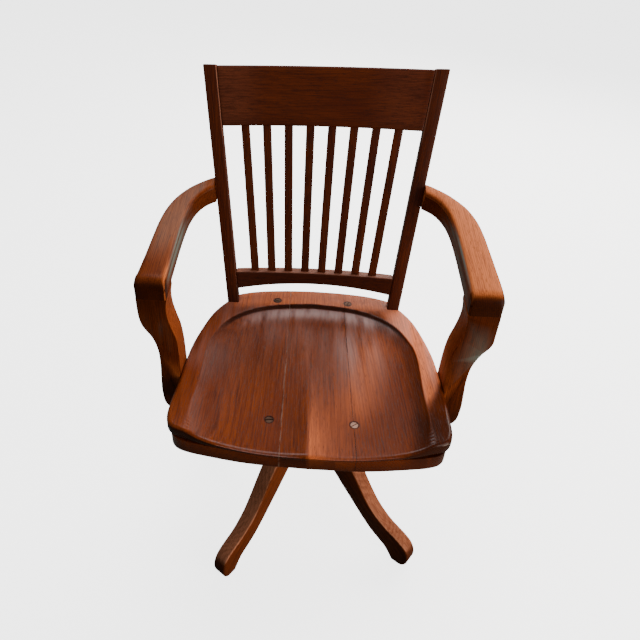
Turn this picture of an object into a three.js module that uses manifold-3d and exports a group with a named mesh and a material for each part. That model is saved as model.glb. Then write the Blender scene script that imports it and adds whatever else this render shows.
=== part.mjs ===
// Oak swivel armchair with a slatted back, a saddled seat and a sprung tilt on a screw spindle.
// Millimetres, +Z up. X runs across the seat and Y from the front of the chair to its back.
// While it is built, the swivel axis stands on x = 0, y = 0 and the floor is z = 0.

import * as THREE from 'three';
import { mergeVertices } from 'three/addons/utils/BufferGeometryUtils.js';
import Module from 'manifold-3d';

const wasm = await Module();
wasm.setup();

// Fits
const glueGap = 0.3;
const slidingGap = 0.5;
const overrun = 6;

// Seat: a bullnosed board over a set-back step, saddled on top and glued up from three planks.
const seatNoseThickness = 27;
const seatStepThickness = 31;
const seatNoseRound = 8;
const seatStepRound = 4;
const seatHalfWidth = 247;
const seatFrontReach = 241;
const seatRearReach = 199.5;
const leftGlueLine = -48;
const rightGlueLine = 79;
const saddleDepth = 19;
const saddleHalfWidth = 208;
const saddleRearReach = 157;
const saddleFrontReach = 300;
const saddleCentre = -20;
const saddleRidgeHeight = 5;
const saddleRidgeWidth = 34;
const saddleLip = 0.6;
const saddleSidePower = 5;
const saddleRearPower = 12;
const saddleFrontPower = 9;

// Back: straight raked posts, a broad crest rail, eight slats and an arched lower rail.
const backInset = 50.3;
const backLength = 487;
const backRake = THREE.MathUtils.degToRad(19.5);
const postWidth = 24;
const postDepth = 22;
const postInset = 77.5;
const postSplay = 52.8;
const postArris = 2.5;
const postTenonRadius = 9;
const postTenonLength = 28;
const crestBottom = 374;
const crestTop = 482.6;
const crestThickness = 19;
const crestBow = 4;
const crestSetBack = 1.5;
const lowerRailBottom = 35.5;
const lowerRailTop = 68.5;
const lowerRailThickness = 21;
const lowerRailBow = 13;
const lowerRailArch = 9;
const lowerRailSetBack = 1.5;
const slatCount = 8;
const slatWidth = 16;
const slatDepth = 8;
const slatArris = 1.5;
const slatTopPitchShare = 0.221;
const slatBottomPitchShare = 0.214;
const slatTenon = 9;

// Arms: level boards sawn to a sweep, each carried in front by a board with a reversed curve.
const armRise = 214;
const armThickness = 40;
const armSlope = 0.115;
const armFrontReach = 76;
const armRun = 101.8;
const armOverhang = 59;
const armSweep = 98;
const armArris = 7;
const armLowerArris = 2.5;
const supportDepth = 50;
const supportFrontReach = 75;
const supportFootDrop = 84;
const supportLap = 4.6;
const supportSweep = 69.6;
const supportHeadRoom = 12;
const supportArris = 6;

// Base: four sabre legs tenoned into a square hub.
const baseTurn = THREE.MathUtils.degToRad(8.9);
const legCount = 4;
const legReach = 287;
const legTop = 234;
const legThickness = 29;
const legArris = 4;
const legTenonThickness = 12;
const legTenonHeight = 30;
const legTenonLength = 24;
const legTenonRoot = 8;
const firstLegTurn = 45;
const hubHalfWidth = 52;
const hubChamfer = 17;
const hubBottom = 178;
const hubArris = 4;

// Iron work on the swivel axis
const spindleRadius = 12.7;
const spindleLength = 224;
const spindleSocketDrop = 22;
const spindleKeyWidth = 6;
const spindleKeyDepth = 3.5;
const sleeveWall = 4;
const flangeRadius = 38;
const flangeThickness = 5.5;
const guideThickness = 5;
const guideRadius = 30;
const collarScrewCount = 4;
const collarScrewCircle = 30;
const collarScrewHead = 4.5;
const collarScrewShank = 2;
const collarScrewLength = 24;
const washerThickness = 4;
const washerRadius = 24;
const nutThickness = 24;
const nutGripRadius = 35;
const nutLobeDepth = 4;
const nutLobes = 6;
const nutLobeSteps = 8;
const nutFaceGap = 0.4;
const lowestDrop = 15;

// Tilting iron: a yoke on the spindle, a cross rod and two straps under the seat.
const pivotRise = 66.4;
const pivotDrop = 26;
const pivotRodRadius = 8;
const pivotRodHead = 12;
const pivotRodHeadThickness = 6;
const pivotNutWidth = 24;
const pivotNutThickness = 7;
const pivotRodTail = 3;
const yokeBarrelRadius = 16;
const yokeBossRadius = 23;
const yokeBossFoot = 20;
const yokeBossClear = 4;
const yokeArmLift = 2;
const yokeArmThickness = 14;
const yokeArmHalfWidth = 22;
const yokePinRadius = 4;
const yokePinDrop = 34;
const strapX = 75.5;
const strapHalfWidth = 14;
const strapThickness = 6;
const strapEnd = 16;
const earThickness = 7;
const earRadius = 17;
const earShoulderShare = 1.5;
const frontEarRadius = 11;
const frontBoltY = -159;
const frontBoltShift = 5.5;
const rearBoltY = 163;
const seatBoltRadius = 3.8;
const seatBoltHead = 7.2;
const seatBoltSlotWidth = 1.8;
const seatBoltSlotDepth = 2;
const seatNutWidth = 13;
const seatNutThickness = 6.5;
const seatBoltTail = 4;
const rearBoltSink = 0.6;
const frontBoltSinkShare = 0.86;

// Tension gear: a draw bolt hung from the seat, pulling a cup up against a coil spring.
const drawBoltY = -80;
const crossRodLift = 12;
const crossRodRadius = 5;
const drawBoltRadius = 5;
const drawEyeRadius = 12;
const drawEyeWidth = 12;
const drawBoltTail = 5;
const stopHornWidth = 6;
const stopHornClear = 2;
const springSeatThickness = 3;
const springSeatClear = 4;
const springWire = 5;
const springOuterRadius = 19;
const springCoils = 5;
const springLength = 52;
const springSteps = 8;
const springSides = 5;
const cupFloor = 4;
const cupWall = 2.5;
const cupRim = 6;
const knobHeight = 24;
const knobRadius = 18;

// Shared facet counts
const roundSides = 20;
const smallSides = 10;
const boltSides = 16;
const saddleSides = 44;
const outlineSteps = 26;

// Outline points as shares of the sizes that they follow, chosen by eye from the shape.
// Seat rim: x of the half width, y of the front reach below zero and of the rear reach above it.
const seatEdgeShares = [
  [0, -1], [0.33, -0.984], [0.65, -0.932], [0.86, -0.872], [0.96, -0.828], [0.997, -0.74],
  [1, -0.6], [0.996, -0.42], [0.98, -0.17], [0.958, 0.02], [0.927, 0.2], [0.886, 0.39],
  [0.842, 0.561], [0.79, 0.69], [0.737, 0.79], [0.693, 0.872], [0.644, 0.917], [0.48, 0.952],
  [0.24, 0.988], [0, 1],
];
// The step under the rim, squarer at its front corners, in shares of the same three sizes
const stepEdgeShares = [
  [0, -0.965], [0.4, -0.952], [0.7, -0.912], [0.86, -0.88], [0.935, -0.84], [0.968, -0.765],
  [0.975, -0.6], [0.975, -0.42], [0.96, -0.17], [0.938, 0.02], [0.907, 0.2], [0.866, 0.39],
  [0.822, 0.555], [0.77, 0.68], [0.717, 0.775], [0.673, 0.85], [0.624, 0.895], [0.465, 0.93],
  [0.23, 0.963], [0, 0.975],
];
// Saddle edge: x of its half width, y of its front reach below zero and of its rear reach above it.
const saddleEdgeShares = [
  [0, -1], [0.4, -0.985], [0.75, -0.92], [0.97, -0.77], [1.01, -0.52], [0.998, -0.3],
  [0.99, 0.04], [0.93, 0.345], [0.81, 0.62], [0.625, 0.815], [0.37, 0.94], [0, 1],
];
const saddleRingShares = [0.4, 0.7, 0.86, 0.93, 0.97, 1];
// Arm plan: x over the sweep from the post at 0 to the outer face at 1, y from the rear end to the front.
const armOuterShares = [
  [0, 0], [0.297, 0.055], [0.557, 0.143], [0.722, 0.245], [0.831, 0.352], [0.9, 0.47],
  [0.95, 0.6], [0.988, 0.75], [1, 0.89], [1, 1],
];
const armInnerShares = [
  [0.491, 1], [0.491, 0.9], [0.485, 0.77], [0.479, 0.62], [0.466, 0.49], [0.435, 0.36],
  [0.363, 0.255], [0.226, 0.168], [0, 0.104],
];
// Support elevation: x over the sweep from the seat's side at 0 to the bulge at 1, z from the foot at 0
// to the arm's underside at 1.
const supportOuterShares = [
  [0.453, 0], [0.516, 0.06], [0.538, 0.16], [0.529, 0.3], [0.516, 0.42], [0.525, 0.5],
  [0.583, 0.59], [0.718, 0.68], [0.879, 0.77], [0.973, 0.86], [1, 0.93], [0.946, 1],
];
const supportInnerShares = [
  [0.193, 1], [0.233, 0.93], [0.22, 0.84], [0.148, 0.74], [0.067, 0.65], [0.022, 0.54],
  [0.004, 0.4], [0, 0.2], [0.027, 0.06], [0.103, 0.012], [0.283, 0],
];
// Leg elevation: distance from the axis as a share of the reach, height as a share of the leg's top.
const legTopShares = [
  [0.28, 0.998], [0.36, 0.972], [0.411, 0.93], [0.453, 0.868], [0.505, 0.774], [0.575, 0.637],
  [0.645, 0.521], [0.714, 0.44], [0.784, 0.379], [0.854, 0.338], [0.913, 0.303], [0.962, 0.255],
  [0.99, 0.185], [0.995, 0.115], [0.98, 0.045], [0.955, 0.008],
];
const legSoleShares = [[0.935, 0], [0.872, 0]];
const legUnderShares = [
  [0.855, 0.03], [0.805, 0.11], [0.735, 0.178], [0.667, 0.243], [0.594, 0.335], [0.523, 0.43],
  [0.453, 0.521], [0.383, 0.607], [0.314, 0.697], [0.244, 0.774],
];
const legRootShare = 0.812;
// Knob profile from its foot: share of its radius, share of its height
const knobShares = [[0.78, 0], [1, 0.167], [1, 0.333], [0.78, 0.5], [0.61, 0.667], [0.61, 1]];

// Places that follow from the sizes above, stacked up from the floor
const flangeBottom = legTop + glueGap;
const flangeTop = flangeBottom + flangeThickness;
const washerBottom = flangeTop + nutFaceGap;
const nutBottom = washerBottom + washerThickness + nutFaceGap;
const nutTop = nutBottom + nutThickness;
const yokeBottom = nutTop + lowestDrop + yokeBossClear;
const pivotHeight = yokeBottom + pivotRise;
const spindleTop = pivotHeight - spindleSocketDrop;
const spindleBottom = spindleTop - spindleLength;
const yokeArmTop = pivotHeight + yokeArmLift;
const crossRodHeight = pivotHeight + crossRodLift;
const seatUnderside = pivotHeight + pivotDrop;
const seatRimHeight = seatUnderside + seatStepThickness + seatNoseThickness;
const strapTop = seatUnderside - glueGap;
const strapBottom = strapTop - strapThickness;
const armTopFront = seatRimHeight + armRise;
const supportFootHeight = seatRimHeight - supportFootDrop;
const springSeatTop = yokeArmTop - yokeArmThickness - glueGap;
const springTop = springSeatTop - springSeatThickness - glueGap;
const springBottom = springTop - springLength;
const cupTop = springBottom - glueGap;
const knobTop = cupTop - cupFloor - nutFaceGap;
const drawBoltEnd = knobTop - knobHeight - drawBoltTail;
const frontBoltSink = saddleDepth * frontBoltSinkShare;
const earInner = strapX - strapHalfWidth;
const postFootX = seatHalfWidth - postInset;
const postTopX = postFootX + postSplay;
const backFoot = seatRearReach - backInset;
const armRearReach = backFoot + armRun;
const armOuterX = seatHalfWidth + armOverhang;

function oak(colour, roughness) {
  return new THREE.MeshStandardMaterial({ color: colour, roughness, metalness: 0 });
}

function iron(colour, roughness) {
  return new THREE.MeshStandardMaterial({ color: colour, roughness, metalness: 0.85 });
}

const seatOak = oak(0x8a4322, 0.42);
const darkOak = oak(0x3d1b10, 0.45);
const armOak = oak(0x824423, 0.42);
const legOak = oak(0x5e2f1b, 0.48);
const castIron = iron(0x2b2a28, 0.6);
const barSteel = iron(0x5c5954, 0.45);
const screwSteel = iron(0x8f8b84, 0.35);

// Turns any closed geometry into a solid: positions only, shared corners merged, no empty triangles.
function solidOf(geometry) {
  const bare = geometry.clone();
  for (const attribute of ['normal', 'uv']) {
    if (bare.hasAttribute(attribute)) bare.deleteAttribute(attribute);
  }
  const merged = mergeVertices(bare);
  const corners = merged.index.array;
  const kept = [];
  for (let i = 0; i < corners.length; i += 3) {
    const [a, b, c] = [corners[i], corners[i + 1], corners[i + 2]];
    if (a !== b && b !== c && c !== a) kept.push(a, b, c);
  }
  const vertProperties = new Float32Array(merged.getAttribute('position').array);
  if (signedVolume(vertProperties, kept) < 0) kept.reverse();
  const triVerts = new Uint32Array(kept);
  return new wasm.Manifold(new wasm.Mesh({ numProp: 3, vertProperties, triVerts }));
}

function signedVolume(positions, corners) {
  const [a, b, c] = [new THREE.Vector3(), new THREE.Vector3(), new THREE.Vector3()];
  let total = 0;
  for (let i = 0; i < corners.length; i += 3) {
    a.fromArray(positions, corners[i] * 3);
    b.fromArray(positions, corners[i + 1] * 3);
    c.fromArray(positions, corners[i + 2] * 3);
    total += a.dot(b.cross(c));
  }
  return total;
}

function geometryOf(solid) {
  const { vertProperties, triVerts } = solid.getMesh();
  const geometry = new THREE.BufferGeometry();
  geometry.setAttribute('position', new THREE.BufferAttribute(new Float32Array(vertProperties), 3));
  geometry.setIndex(new THREE.BufferAttribute(new Uint32Array(triVerts), 1));
  geometry.computeVertexNormals();
  return geometry;
}

function piece(name, solid, material) {
  const mesh = new THREE.Mesh(geometryOf(solid), material);
  mesh.name = name;
  return mesh;
}

// A box between two corners
function block(low, high) {
  const size = high.map((value, axis) => value - low[axis]);
  const box = new THREE.BoxGeometry(...size);
  box.translate(...low.map((value, axis) => value + size[axis] / 2));
  return solidOf(box);
}

// A solid of revolution about Z from [radius, height] points that start and end on the axis,
// or close on themselves when it has a bore.
function turned(points, sides = roundSides) {
  const profile = points.map(([radius, height]) => new THREE.Vector2(radius, height));
  const lathe = new THREE.LatheGeometry(profile, sides);
  lathe.rotateX(Math.PI / 2);
  return solidOf(lathe);
}

function rod(radius, low, high, sides = roundSides) {
  return turned([[0, low], [radius, low], [radius, high], [0, high]], sides);
}

function ring(inner, outer, low, high, sides = roundSides) {
  return turned([[inner, low], [outer, low], [outer, high], [inner, high], [inner, low]], sides);
}

// A rod along X, centred on the given line
function crossRod(radius, fromX, toX, y, z, sides = roundSides) {
  const bar = new THREE.CylinderGeometry(radius, radius, toX - fromX, sides);
  bar.rotateZ(Math.PI / 2);
  bar.translate((fromX + toX) / 2, y, z);
  return solidOf(bar);
}

// An outline extruded along +Z with its edges rounded inside the outline
function extruded(shape, low, high, round = 0, roundSteps = 2) {
  const geometry = new THREE.ExtrudeGeometry(shape, {
    depth: high - low - 2 * round,
    bevelEnabled: round > 0,
    bevelThickness: round,
    bevelSize: round,
    bevelOffset: -round,
    bevelSegments: roundSteps,
    curveSegments: smallSides,
  });
  geometry.translate(0, 0, low + round);
  return geometry;
}

// An upright outline in (x, z), extruded along Y
function uprightAcross(shape, fromY, toY, round, roundSteps) {
  const geometry = extruded(shape, -toY, -fromY, round, roundSteps);
  geometry.rotateX(Math.PI / 2);
  return solidOf(geometry);
}

// An upright outline in (y, z), extruded along X
function uprightAlong(shape, fromX, toX) {
  const geometry = extruded(shape, fromX, toX);
  geometry.rotateX(Math.PI / 2);
  geometry.rotateZ(Math.PI / 2);
  return solidOf(geometry);
}

function smoothed(points, steps) {
  const curve = new THREE.SplineCurve(points.map(([x, y]) => new THREE.Vector2(x, y)));
  return curve.getPoints(steps);
}

function mirrored(solid) {
  return solid.mirror([1, 0, 0]);
}

function withMirror(solid) {
  return solid.add(mirrored(solid));
}

// Half of an edge that is mirrored about x = 0: shares of a half width and of two reaches
function edgePoints(shares, halfWidth, frontReach, rearReach) {
  return shares.map(([x, y]) => [x * halfWidth, y * (y < 0 ? frontReach : rearReach)]);
}

function mirroredOutline(points, steps) {
  const half = smoothed(points, steps);
  const otherHalf = half.slice(1, -1).reverse().map((point) => new THREE.Vector2(-point.x, point.y));
  return new THREE.Shape([...half, ...otherHalf]);
}

function seatOutline(shares, grow = 0) {
  const [reachFront, reachRear] = [seatFrontReach + grow, seatRearReach + grow];
  return mirroredOutline(edgePoints(shares, seatHalfWidth + grow, reachFront, reachRear), outlineSteps);
}

function seatSlab() {
  const noseBottom = seatRimHeight - seatNoseThickness;
  const nose = solidOf(extruded(seatOutline(seatEdgeShares), noseBottom, seatRimHeight, seatNoseRound, 3));
  const stepTop = noseBottom + seatNoseRound + seatStepRound;
  const step = solidOf(extruded(seatOutline(stepEdgeShares), seatUnderside, stepTop, seatStepRound));
  return nose.add(step);
}

// The saddle cutter: a unit bowl drawn out to the saddle's edge, steep behind and easing at the sides
function saddleTool() {
  const profile = [new THREE.Vector2(0, 0)];
  for (const share of saddleRingShares) profile.push(new THREE.Vector2(share, 0));
  profile.push(new THREE.Vector2(1, 1), new THREE.Vector2(0, 1));
  const bowl = new THREE.LatheGeometry(profile, saddleSides);
  const half = edgePoints(saddleEdgeShares, saddleHalfWidth, saddleFrontReach, saddleRearReach);
  const edge = new THREE.SplineCurve(half.map(([x, y]) => new THREE.Vector2(x, y)));
  const positions = bowl.getAttribute('position');
  for (let i = 0; i < positions.count; i += 1) {
    placeSaddlePoint(positions, i, edge);
  }
  return solidOf(bowl);
}

function placeSaddlePoint(positions, index, edge) {
  const share = Math.hypot(positions.getX(index), positions.getZ(index));
  const turn = Math.atan2(positions.getX(index), positions.getZ(index));
  const rim = edge.getPoint(Math.abs(turn) / Math.PI);
  const side = turn < 0 ? -1 : 1;
  const x = side * rim.x * share;
  const y = saddleCentre + (rim.y - saddleCentre) * share;
  const isTop = positions.getY(index) > 0;
  const z = isTop ? seatRimHeight + overrun : seatRimHeight - saddleSink(x, y, share, rim);
  positions.setXYZ(index, x, y, z);
}

function saddleSink(x, y, share, rim) {
  const rise = (rim.y - saddleCentre) / Math.hypot(rim.x, rim.y - saddleCentre);
  const endPower = rise > 0 ? saddleRearPower : saddleFrontPower;
  const power = THREE.MathUtils.lerp(saddleSidePower, endPower, rise * rise);
  const bowl = saddleDepth * (1 - share ** power);
  const forward = THREE.MathUtils.smoothstep(-y, saddleCentre, seatFrontReach);
  const ridge = saddleRidgeHeight * Math.exp(-((x / saddleRidgeWidth) ** 2)) * forward;
  return share < 1 ? bowl - ridge * (1 - share ** power) : -saddleLip;
}

// A slotted countersunk bolt standing in the seat, head up
function seatBolt(x, y, sink, turn) {
  const headTop = seatRimHeight - sink;
  const coneDepth = seatBoltHead - seatBoltRadius;
  const tip = strapBottom - glueGap - seatNutThickness - seatBoltTail;
  const body = turned([
    [0, tip], [seatBoltRadius, tip], [seatBoltRadius, headTop - coneDepth], [seatBoltHead, headTop],
    [0, headTop],
  ], boltSides);
  const slotLow = [-seatBoltHead - overrun, -seatBoltSlotWidth / 2, headTop - seatBoltSlotDepth];
  const slotHigh = [seatBoltHead + overrun, seatBoltSlotWidth / 2, headTop + overrun];
  return body.subtract(block(slotLow, slotHigh)).rotate([0, 0, turn]).translate([x, y, 0]);
}

// The hole that a seat bolt needs through wood and iron, open above its head
function seatBoltHole(x, y, sink) {
  const headTop = seatRimHeight - sink;
  const coneDepth = seatBoltHead - seatBoltRadius;
  const hole = turned([
    [0, strapBottom - overrun], [seatBoltRadius + glueGap, strapBottom - overrun],
    [seatBoltRadius + glueGap, headTop - coneDepth], [seatBoltHead + glueGap, headTop],
    [seatBoltHead + glueGap, seatRimHeight + overrun], [0, seatRimHeight + overrun],
  ], boltSides);
  return hole.translate([x, y, 0]);
}

// Left and right bolts of the front and rear rows; the turns are those of the screw slots
const seatBolts = [
  { name: 'seat_bolt_front_left', x: frontBoltShift - strapX, y: frontBoltY, sink: frontBoltSink, turn: 8 },
  { name: 'seat_bolt_front_right', x: frontBoltShift + strapX, y: frontBoltY, sink: frontBoltSink, turn: 38 },
  { name: 'seat_bolt_rear_left', x: -strapX, y: rearBoltY, sink: rearBoltSink, turn: -22 },
  { name: 'seat_bolt_rear_right', x: strapX, y: rearBoltY, sink: rearBoltSink, turn: 64 },
];

// The plane of the back: x across, y up the rake, z to the front, with its zero at the posts' feet
function toBackPlane(solid) {
  const lift = THREE.MathUtils.radToDeg(Math.PI / 2 - backRake);
  return solid.rotate([lift, 0, 0]).translate([0, backFoot, seatRimHeight]);
}

function postCentreX(up) {
  return THREE.MathUtils.lerp(postFootX, postTopX, up / backLength);
}

function postOutline(from, to, halfWidth) {
  const [low, high] = [postCentreX(from), postCentreX(to)];
  return new THREE.Shape([
    new THREE.Vector2(low - halfWidth, from), new THREE.Vector2(low + halfWidth, from),
    new THREE.Vector2(high + halfWidth, to), new THREE.Vector2(high - halfWidth, to),
  ]);
}

// The round tenon that drops from a post's foot into the seat
function postTenon(clearance) {
  const lean = Math.atan2(postTopX - postFootX, backLength);
  const length = postTenonLength + clearance;
  const tenon = rod(postTenonRadius + clearance, -length, postDepth, boltSides);
  const leanDegrees = THREE.MathUtils.radToDeg(lean);
  return tenon.rotate([-90, 0, 0]).rotate([0, 0, -leanDegrees])
    .translate([postFootX, 0, -postDepth / 2]);
}

function rightPost() {
  const footRoom = -postDepth;
  const bar = solidOf(extruded(postOutline(footRoom, backLength, postWidth / 2), -postDepth, 0, postArris));
  const reach = seatHalfWidth + overrun;
  const depth = seatNoseThickness + seatStepThickness + postTenonLength;
  const below = block([-reach, -reach, seatRimHeight - depth], [reach, reach, seatRimHeight + glueGap]);
  const post = toBackPlane(bar).subtract(below);
  return post.add(toBackPlane(postTenon(0)));
}

// A rail between the posts: a board bent back in its middle, its ends cut to the posts' splay
function railBoard(bottom, top, thickness, bow, setBack, arch, sideGap) {
  const board = new THREE.BoxGeometry(1, 1, 1, smallSides, 1, 1);
  const positions = board.getAttribute('position');
  for (let i = 0; i < positions.count; i += 1) {
    const across = positions.getX(i) * 2;
    const archLift = positions.getY(i) < 0 ? arch * (1 - across * across) : 0;
    const up = THREE.MathUtils.lerp(bottom, top, positions.getY(i) + 0.5) + archLift;
    const halfSpan = postCentreX(up) - postWidth / 2 - sideGap;
    const forward = railForward(across, bow, setBack) + (positions.getZ(i) - 0.5) * thickness;
    positions.setXYZ(i, across * halfSpan, up, forward);
  }
  return solidOf(board);
}

function railForward(across, bow, setBack) {
  return -setBack - bow * (1 - across * across);
}

function slatCentre(index, pitchShare, halfSpan) {
  return (index - (slatCount - 1) / 2) * pitchShare * halfSpan;
}

// One slat from the lower rail to the crest, running into a pocket in each
function slatSolid(index, clearance) {
  const lowHalf = postCentreX(lowerRailTop) - postWidth / 2;
  const highHalf = postCentreX(crestBottom) - postWidth / 2;
  const lowX = slatCentre(index, slatBottomPitchShare, lowHalf);
  const highX = slatCentre(index, slatTopPitchShare, highHalf);
  const [lowUp, highUp] = [lowerRailTop - slatTenon - clearance, crestBottom + slatTenon + clearance];
  const lowZ = railForward(lowX / lowHalf, lowerRailBow, lowerRailSetBack) - lowerRailThickness / 2;
  const highZ = railForward(highX / highHalf, crestBow, crestSetBack) - crestThickness / 2;
  const half = [slatWidth / 2 + clearance, slatDepth / 2 + clearance];
  const section = new THREE.Shape([
    new THREE.Vector2(-half[0], -half[1]), new THREE.Vector2(half[0], -half[1]),
    new THREE.Vector2(half[0], half[1]), new THREE.Vector2(-half[0], half[1]),
  ]);
  const bar = roundedBar(section, lowUp, highUp);
  const positions = bar.getAttribute('position');
  for (let i = 0; i < positions.count; i += 1) {
    const share = (positions.getY(i) - lowUp) / (highUp - lowUp);
    positions.setX(i, positions.getX(i) + THREE.MathUtils.lerp(lowX, highX, share));
    positions.setZ(i, positions.getZ(i) + THREE.MathUtils.lerp(lowZ, highZ, share));
  }
  return solidOf(bar);
}

// A bar along +Y whose long edges are eased
function roundedBar(section, low, high) {
  const corners = section.getPoints();
  const eased = new THREE.Shape();
  corners.forEach((corner, index) => {
    const before = corners[(index + corners.length - 1) % corners.length];
    const after = corners[(index + 1) % corners.length];
    const into = corner.clone().add(before.clone().sub(corner).setLength(slatArris));
    const out = corner.clone().add(after.clone().sub(corner).setLength(slatArris));
    if (index === 0) eased.moveTo(into.x, into.y);
    else eased.lineTo(into.x, into.y);
    eased.lineTo(out.x, out.y);
  });
  const bar = extruded(eased, -high, -low);
  bar.rotateX(Math.PI / 2);
  return bar;
}

function slatPockets() {
  let pockets = slatSolid(0, glueGap);
  for (let i = 1; i < slatCount; i += 1) pockets = pockets.add(slatSolid(i, glueGap));
  return pockets;
}

function armHeight(y) {
  return armTopFront + (y + armFrontReach) * armSlope;
}

// The arm's plan, sawn from a board whose top rises towards the back
function rightArm() {
  const across = (share) => THREE.MathUtils.lerp(armOuterX - armSweep, armOuterX, share);
  const along = (share) => THREE.MathUtils.lerp(armRearReach, -armFrontReach, share);
  const outer = smoothed(armOuterShares.map(([x, y]) => [across(x), along(y)]), outlineSteps / 2);
  const inner = smoothed(armInnerShares.map(([x, y]) => [across(x), along(y)]), outlineSteps / 2);
  const plan = new THREE.Shape([...outer, ...inner]);
  const upper = onArmSlope(extruded(plan, -armThickness, 0, armArris, 2));
  const lower = onArmSlope(extruded(plan, -armThickness, -armThickness / 2, armLowerArris, 1));
  const reach = seatHalfWidth;
  const postRear = -postDepth - armThickness;
  const postSide = block([-reach, -postDepth, postRear], [postWidth / 2 + glueGap, backLength, postDepth]);
  const lean = Math.atan2(postTopX - postFootX, backLength);
  const post = postSide.rotate([0, 0, -THREE.MathUtils.radToDeg(lean)]).translate([postFootX, 0, 0]);
  return upper.add(lower).subtract(toBackPlane(post));
}

// Lifts a level board onto the slope that the arms climb towards the back
function onArmSlope(board) {
  const positions = board.getAttribute('position');
  for (let i = 0; i < positions.count; i += 1) {
    positions.setZ(i, positions.getZ(i) + armHeight(positions.getY(i)));
  }
  return solidOf(board);
}

function rightSupport() {
  const top = armHeight(-supportFrontReach) - armThickness;
  const seatSideX = seatHalfWidth - supportLap;
  const across = (share) => THREE.MathUtils.lerp(seatSideX, seatSideX + supportSweep, share);
  const up = (share) => THREE.MathUtils.lerp(supportFootHeight, top, share);
  const outer = smoothed(supportOuterShares.map(([x, z]) => [across(x), up(z)]), outlineSteps / 2);
  const inner = smoothed(supportInnerShares.map(([x, z]) => [across(x), up(z)]), outlineSteps / 2);
  const rear = supportDepth - supportFrontReach;
  const head = [
    new THREE.Vector2(outer.at(-1).x, top + supportHeadRoom),
    new THREE.Vector2(inner[0].x, top + supportHeadRoom),
  ];
  const outline = new THREE.Shape([...outer, ...head, ...inner]);
  const tall = uprightAcross(outline, -supportFrontReach, rear, supportArris, 2);
  const [width, depth] = [2 * (armOuterX + armThickness), 2 * (supportFrontReach + supportDepth)];
  const above = new THREE.BoxGeometry(width, depth, armThickness);
  above.translate(0, 0, -armThickness / 2 - glueGap);
  const board = tall.subtract(onArmSlope(above));
  const seatBand = [seatUnderside - overrun, seatRimHeight + overrun];
  return board.subtract(solidOf(extruded(seatOutline(seatEdgeShares, glueGap), ...seatBand)));
}

// A sabre leg in the plane of its own sweep, with a tenon for the hub
function leg() {
  const place = ([x, z]) => [x * legReach, z * legTop];
  const root = hubHalfWidth + glueGap;
  const back = smoothed([[root, legTop], ...legTopShares.map(place)], outlineSteps);
  const sole = legSoleShares.map(place).map(([x, z]) => new THREE.Vector2(x, z));
  const under = smoothed([...legUnderShares.map(place), [root, legRootShare * legTop]], outlineSteps / 2);
  const outline = new THREE.Shape([...back, ...sole, ...under]);
  const half = legThickness / 2;
  const body = uprightAcross(outline, -half, half, legArris, 1);
  return body.add(legTenon(0));
}

function legTenon(clearance) {
  const half = legTenonThickness / 2 + clearance;
  const middle = (legTop + legRootShare * legTop) / 2;
  const tall = legTenonHeight / 2 + clearance;
  const inner = hubHalfWidth - legTenonLength - clearance;
  const outer = hubHalfWidth + legTenonRoot;
  return block([inner, -half, middle - tall], [outer, half, middle + tall]);
}

function hub() {
  const [wide, cut] = [hubHalfWidth, hubHalfWidth - hubChamfer];
  const corners = [[wide, -cut], [wide, cut], [cut, wide], [-cut, wide], [-wide, cut], [-wide, -cut],
    [-cut, -wide], [cut, -wide]];
  const outline = new THREE.Shape(corners.map(([x, y]) => new THREE.Vector2(x, y)));
  let body = solidOf(extruded(outline, hubBottom, legTop, hubArris, 1));
  const boreRadius = spindleRadius + slidingGap + sleeveWall + glueGap;
  body = body.subtract(rod(boreRadius, hubBottom - overrun, legTop + overrun));
  for (let i = 0; i < legCount; i += 1) {
    body = body.subtract(legTenon(glueGap).rotate([0, 0, (i * 360) / legCount]));
  }
  for (const screw of collarScrewPlaces()) {
    body = body.subtract(collarScrewBody(glueGap).translate(screw));
  }
  return body;
}

// The iron sleeve in the hub, with the flange that the chair turns on
function sleeve() {
  const bore = spindleRadius + slidingGap;
  const profile = [
    [bore, hubBottom], [bore + sleeveWall, hubBottom], [bore + sleeveWall, flangeBottom],
    [flangeRadius, flangeBottom], [flangeRadius, flangeTop], [bore, flangeTop], [bore, hubBottom],
  ];
  let body = turned(profile);
  for (const screw of collarScrewPlaces()) body = body.subtract(collarScrewBody(glueGap).translate(screw));
  return body;
}

// A plate under the hub that keeps the foot of the sleeve
function guidePlate() {
  const bore = spindleRadius + slidingGap;
  const top = hubBottom - glueGap;
  return ring(bore, guideRadius, top - guideThickness, top);
}

function collarScrewPlaces() {
  const places = [];
  for (let i = 0; i < collarScrewCount; i += 1) {
    const turn = ((i + 0.5) * 2 * Math.PI) / collarScrewCount;
    places.push([collarScrewCircle * Math.cos(turn), collarScrewCircle * Math.sin(turn), 0]);
  }
  return places;
}

function collarScrewBody(clearance) {
  const cone = collarScrewHead - collarScrewShank;
  const shank = collarScrewShank + clearance;
  const tip = flangeTop - collarScrewLength - clearance;
  return turned([
    [0, tip], [shank, tip + cone], [shank, flangeTop - cone], [collarScrewHead + clearance, flangeTop],
    [0, flangeTop],
  ], smallSides);
}

// The washer's key runs in the spindle's groove, so that it turns with the chair
function thrustWasher() {
  const bore = spindleRadius + slidingGap;
  const disc = ring(bore, washerRadius, washerBottom, washerBottom + washerThickness);
  const keyHalf = spindleKeyWidth / 2 - slidingGap;
  const keyTip = spindleRadius - spindleKeyDepth + slidingGap;
  const washerTop = washerBottom + washerThickness;
  const key = block([keyTip, -keyHalf, washerBottom], [bore + sleeveWall, keyHalf, washerTop]);
  return disc.add(key);
}

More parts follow.
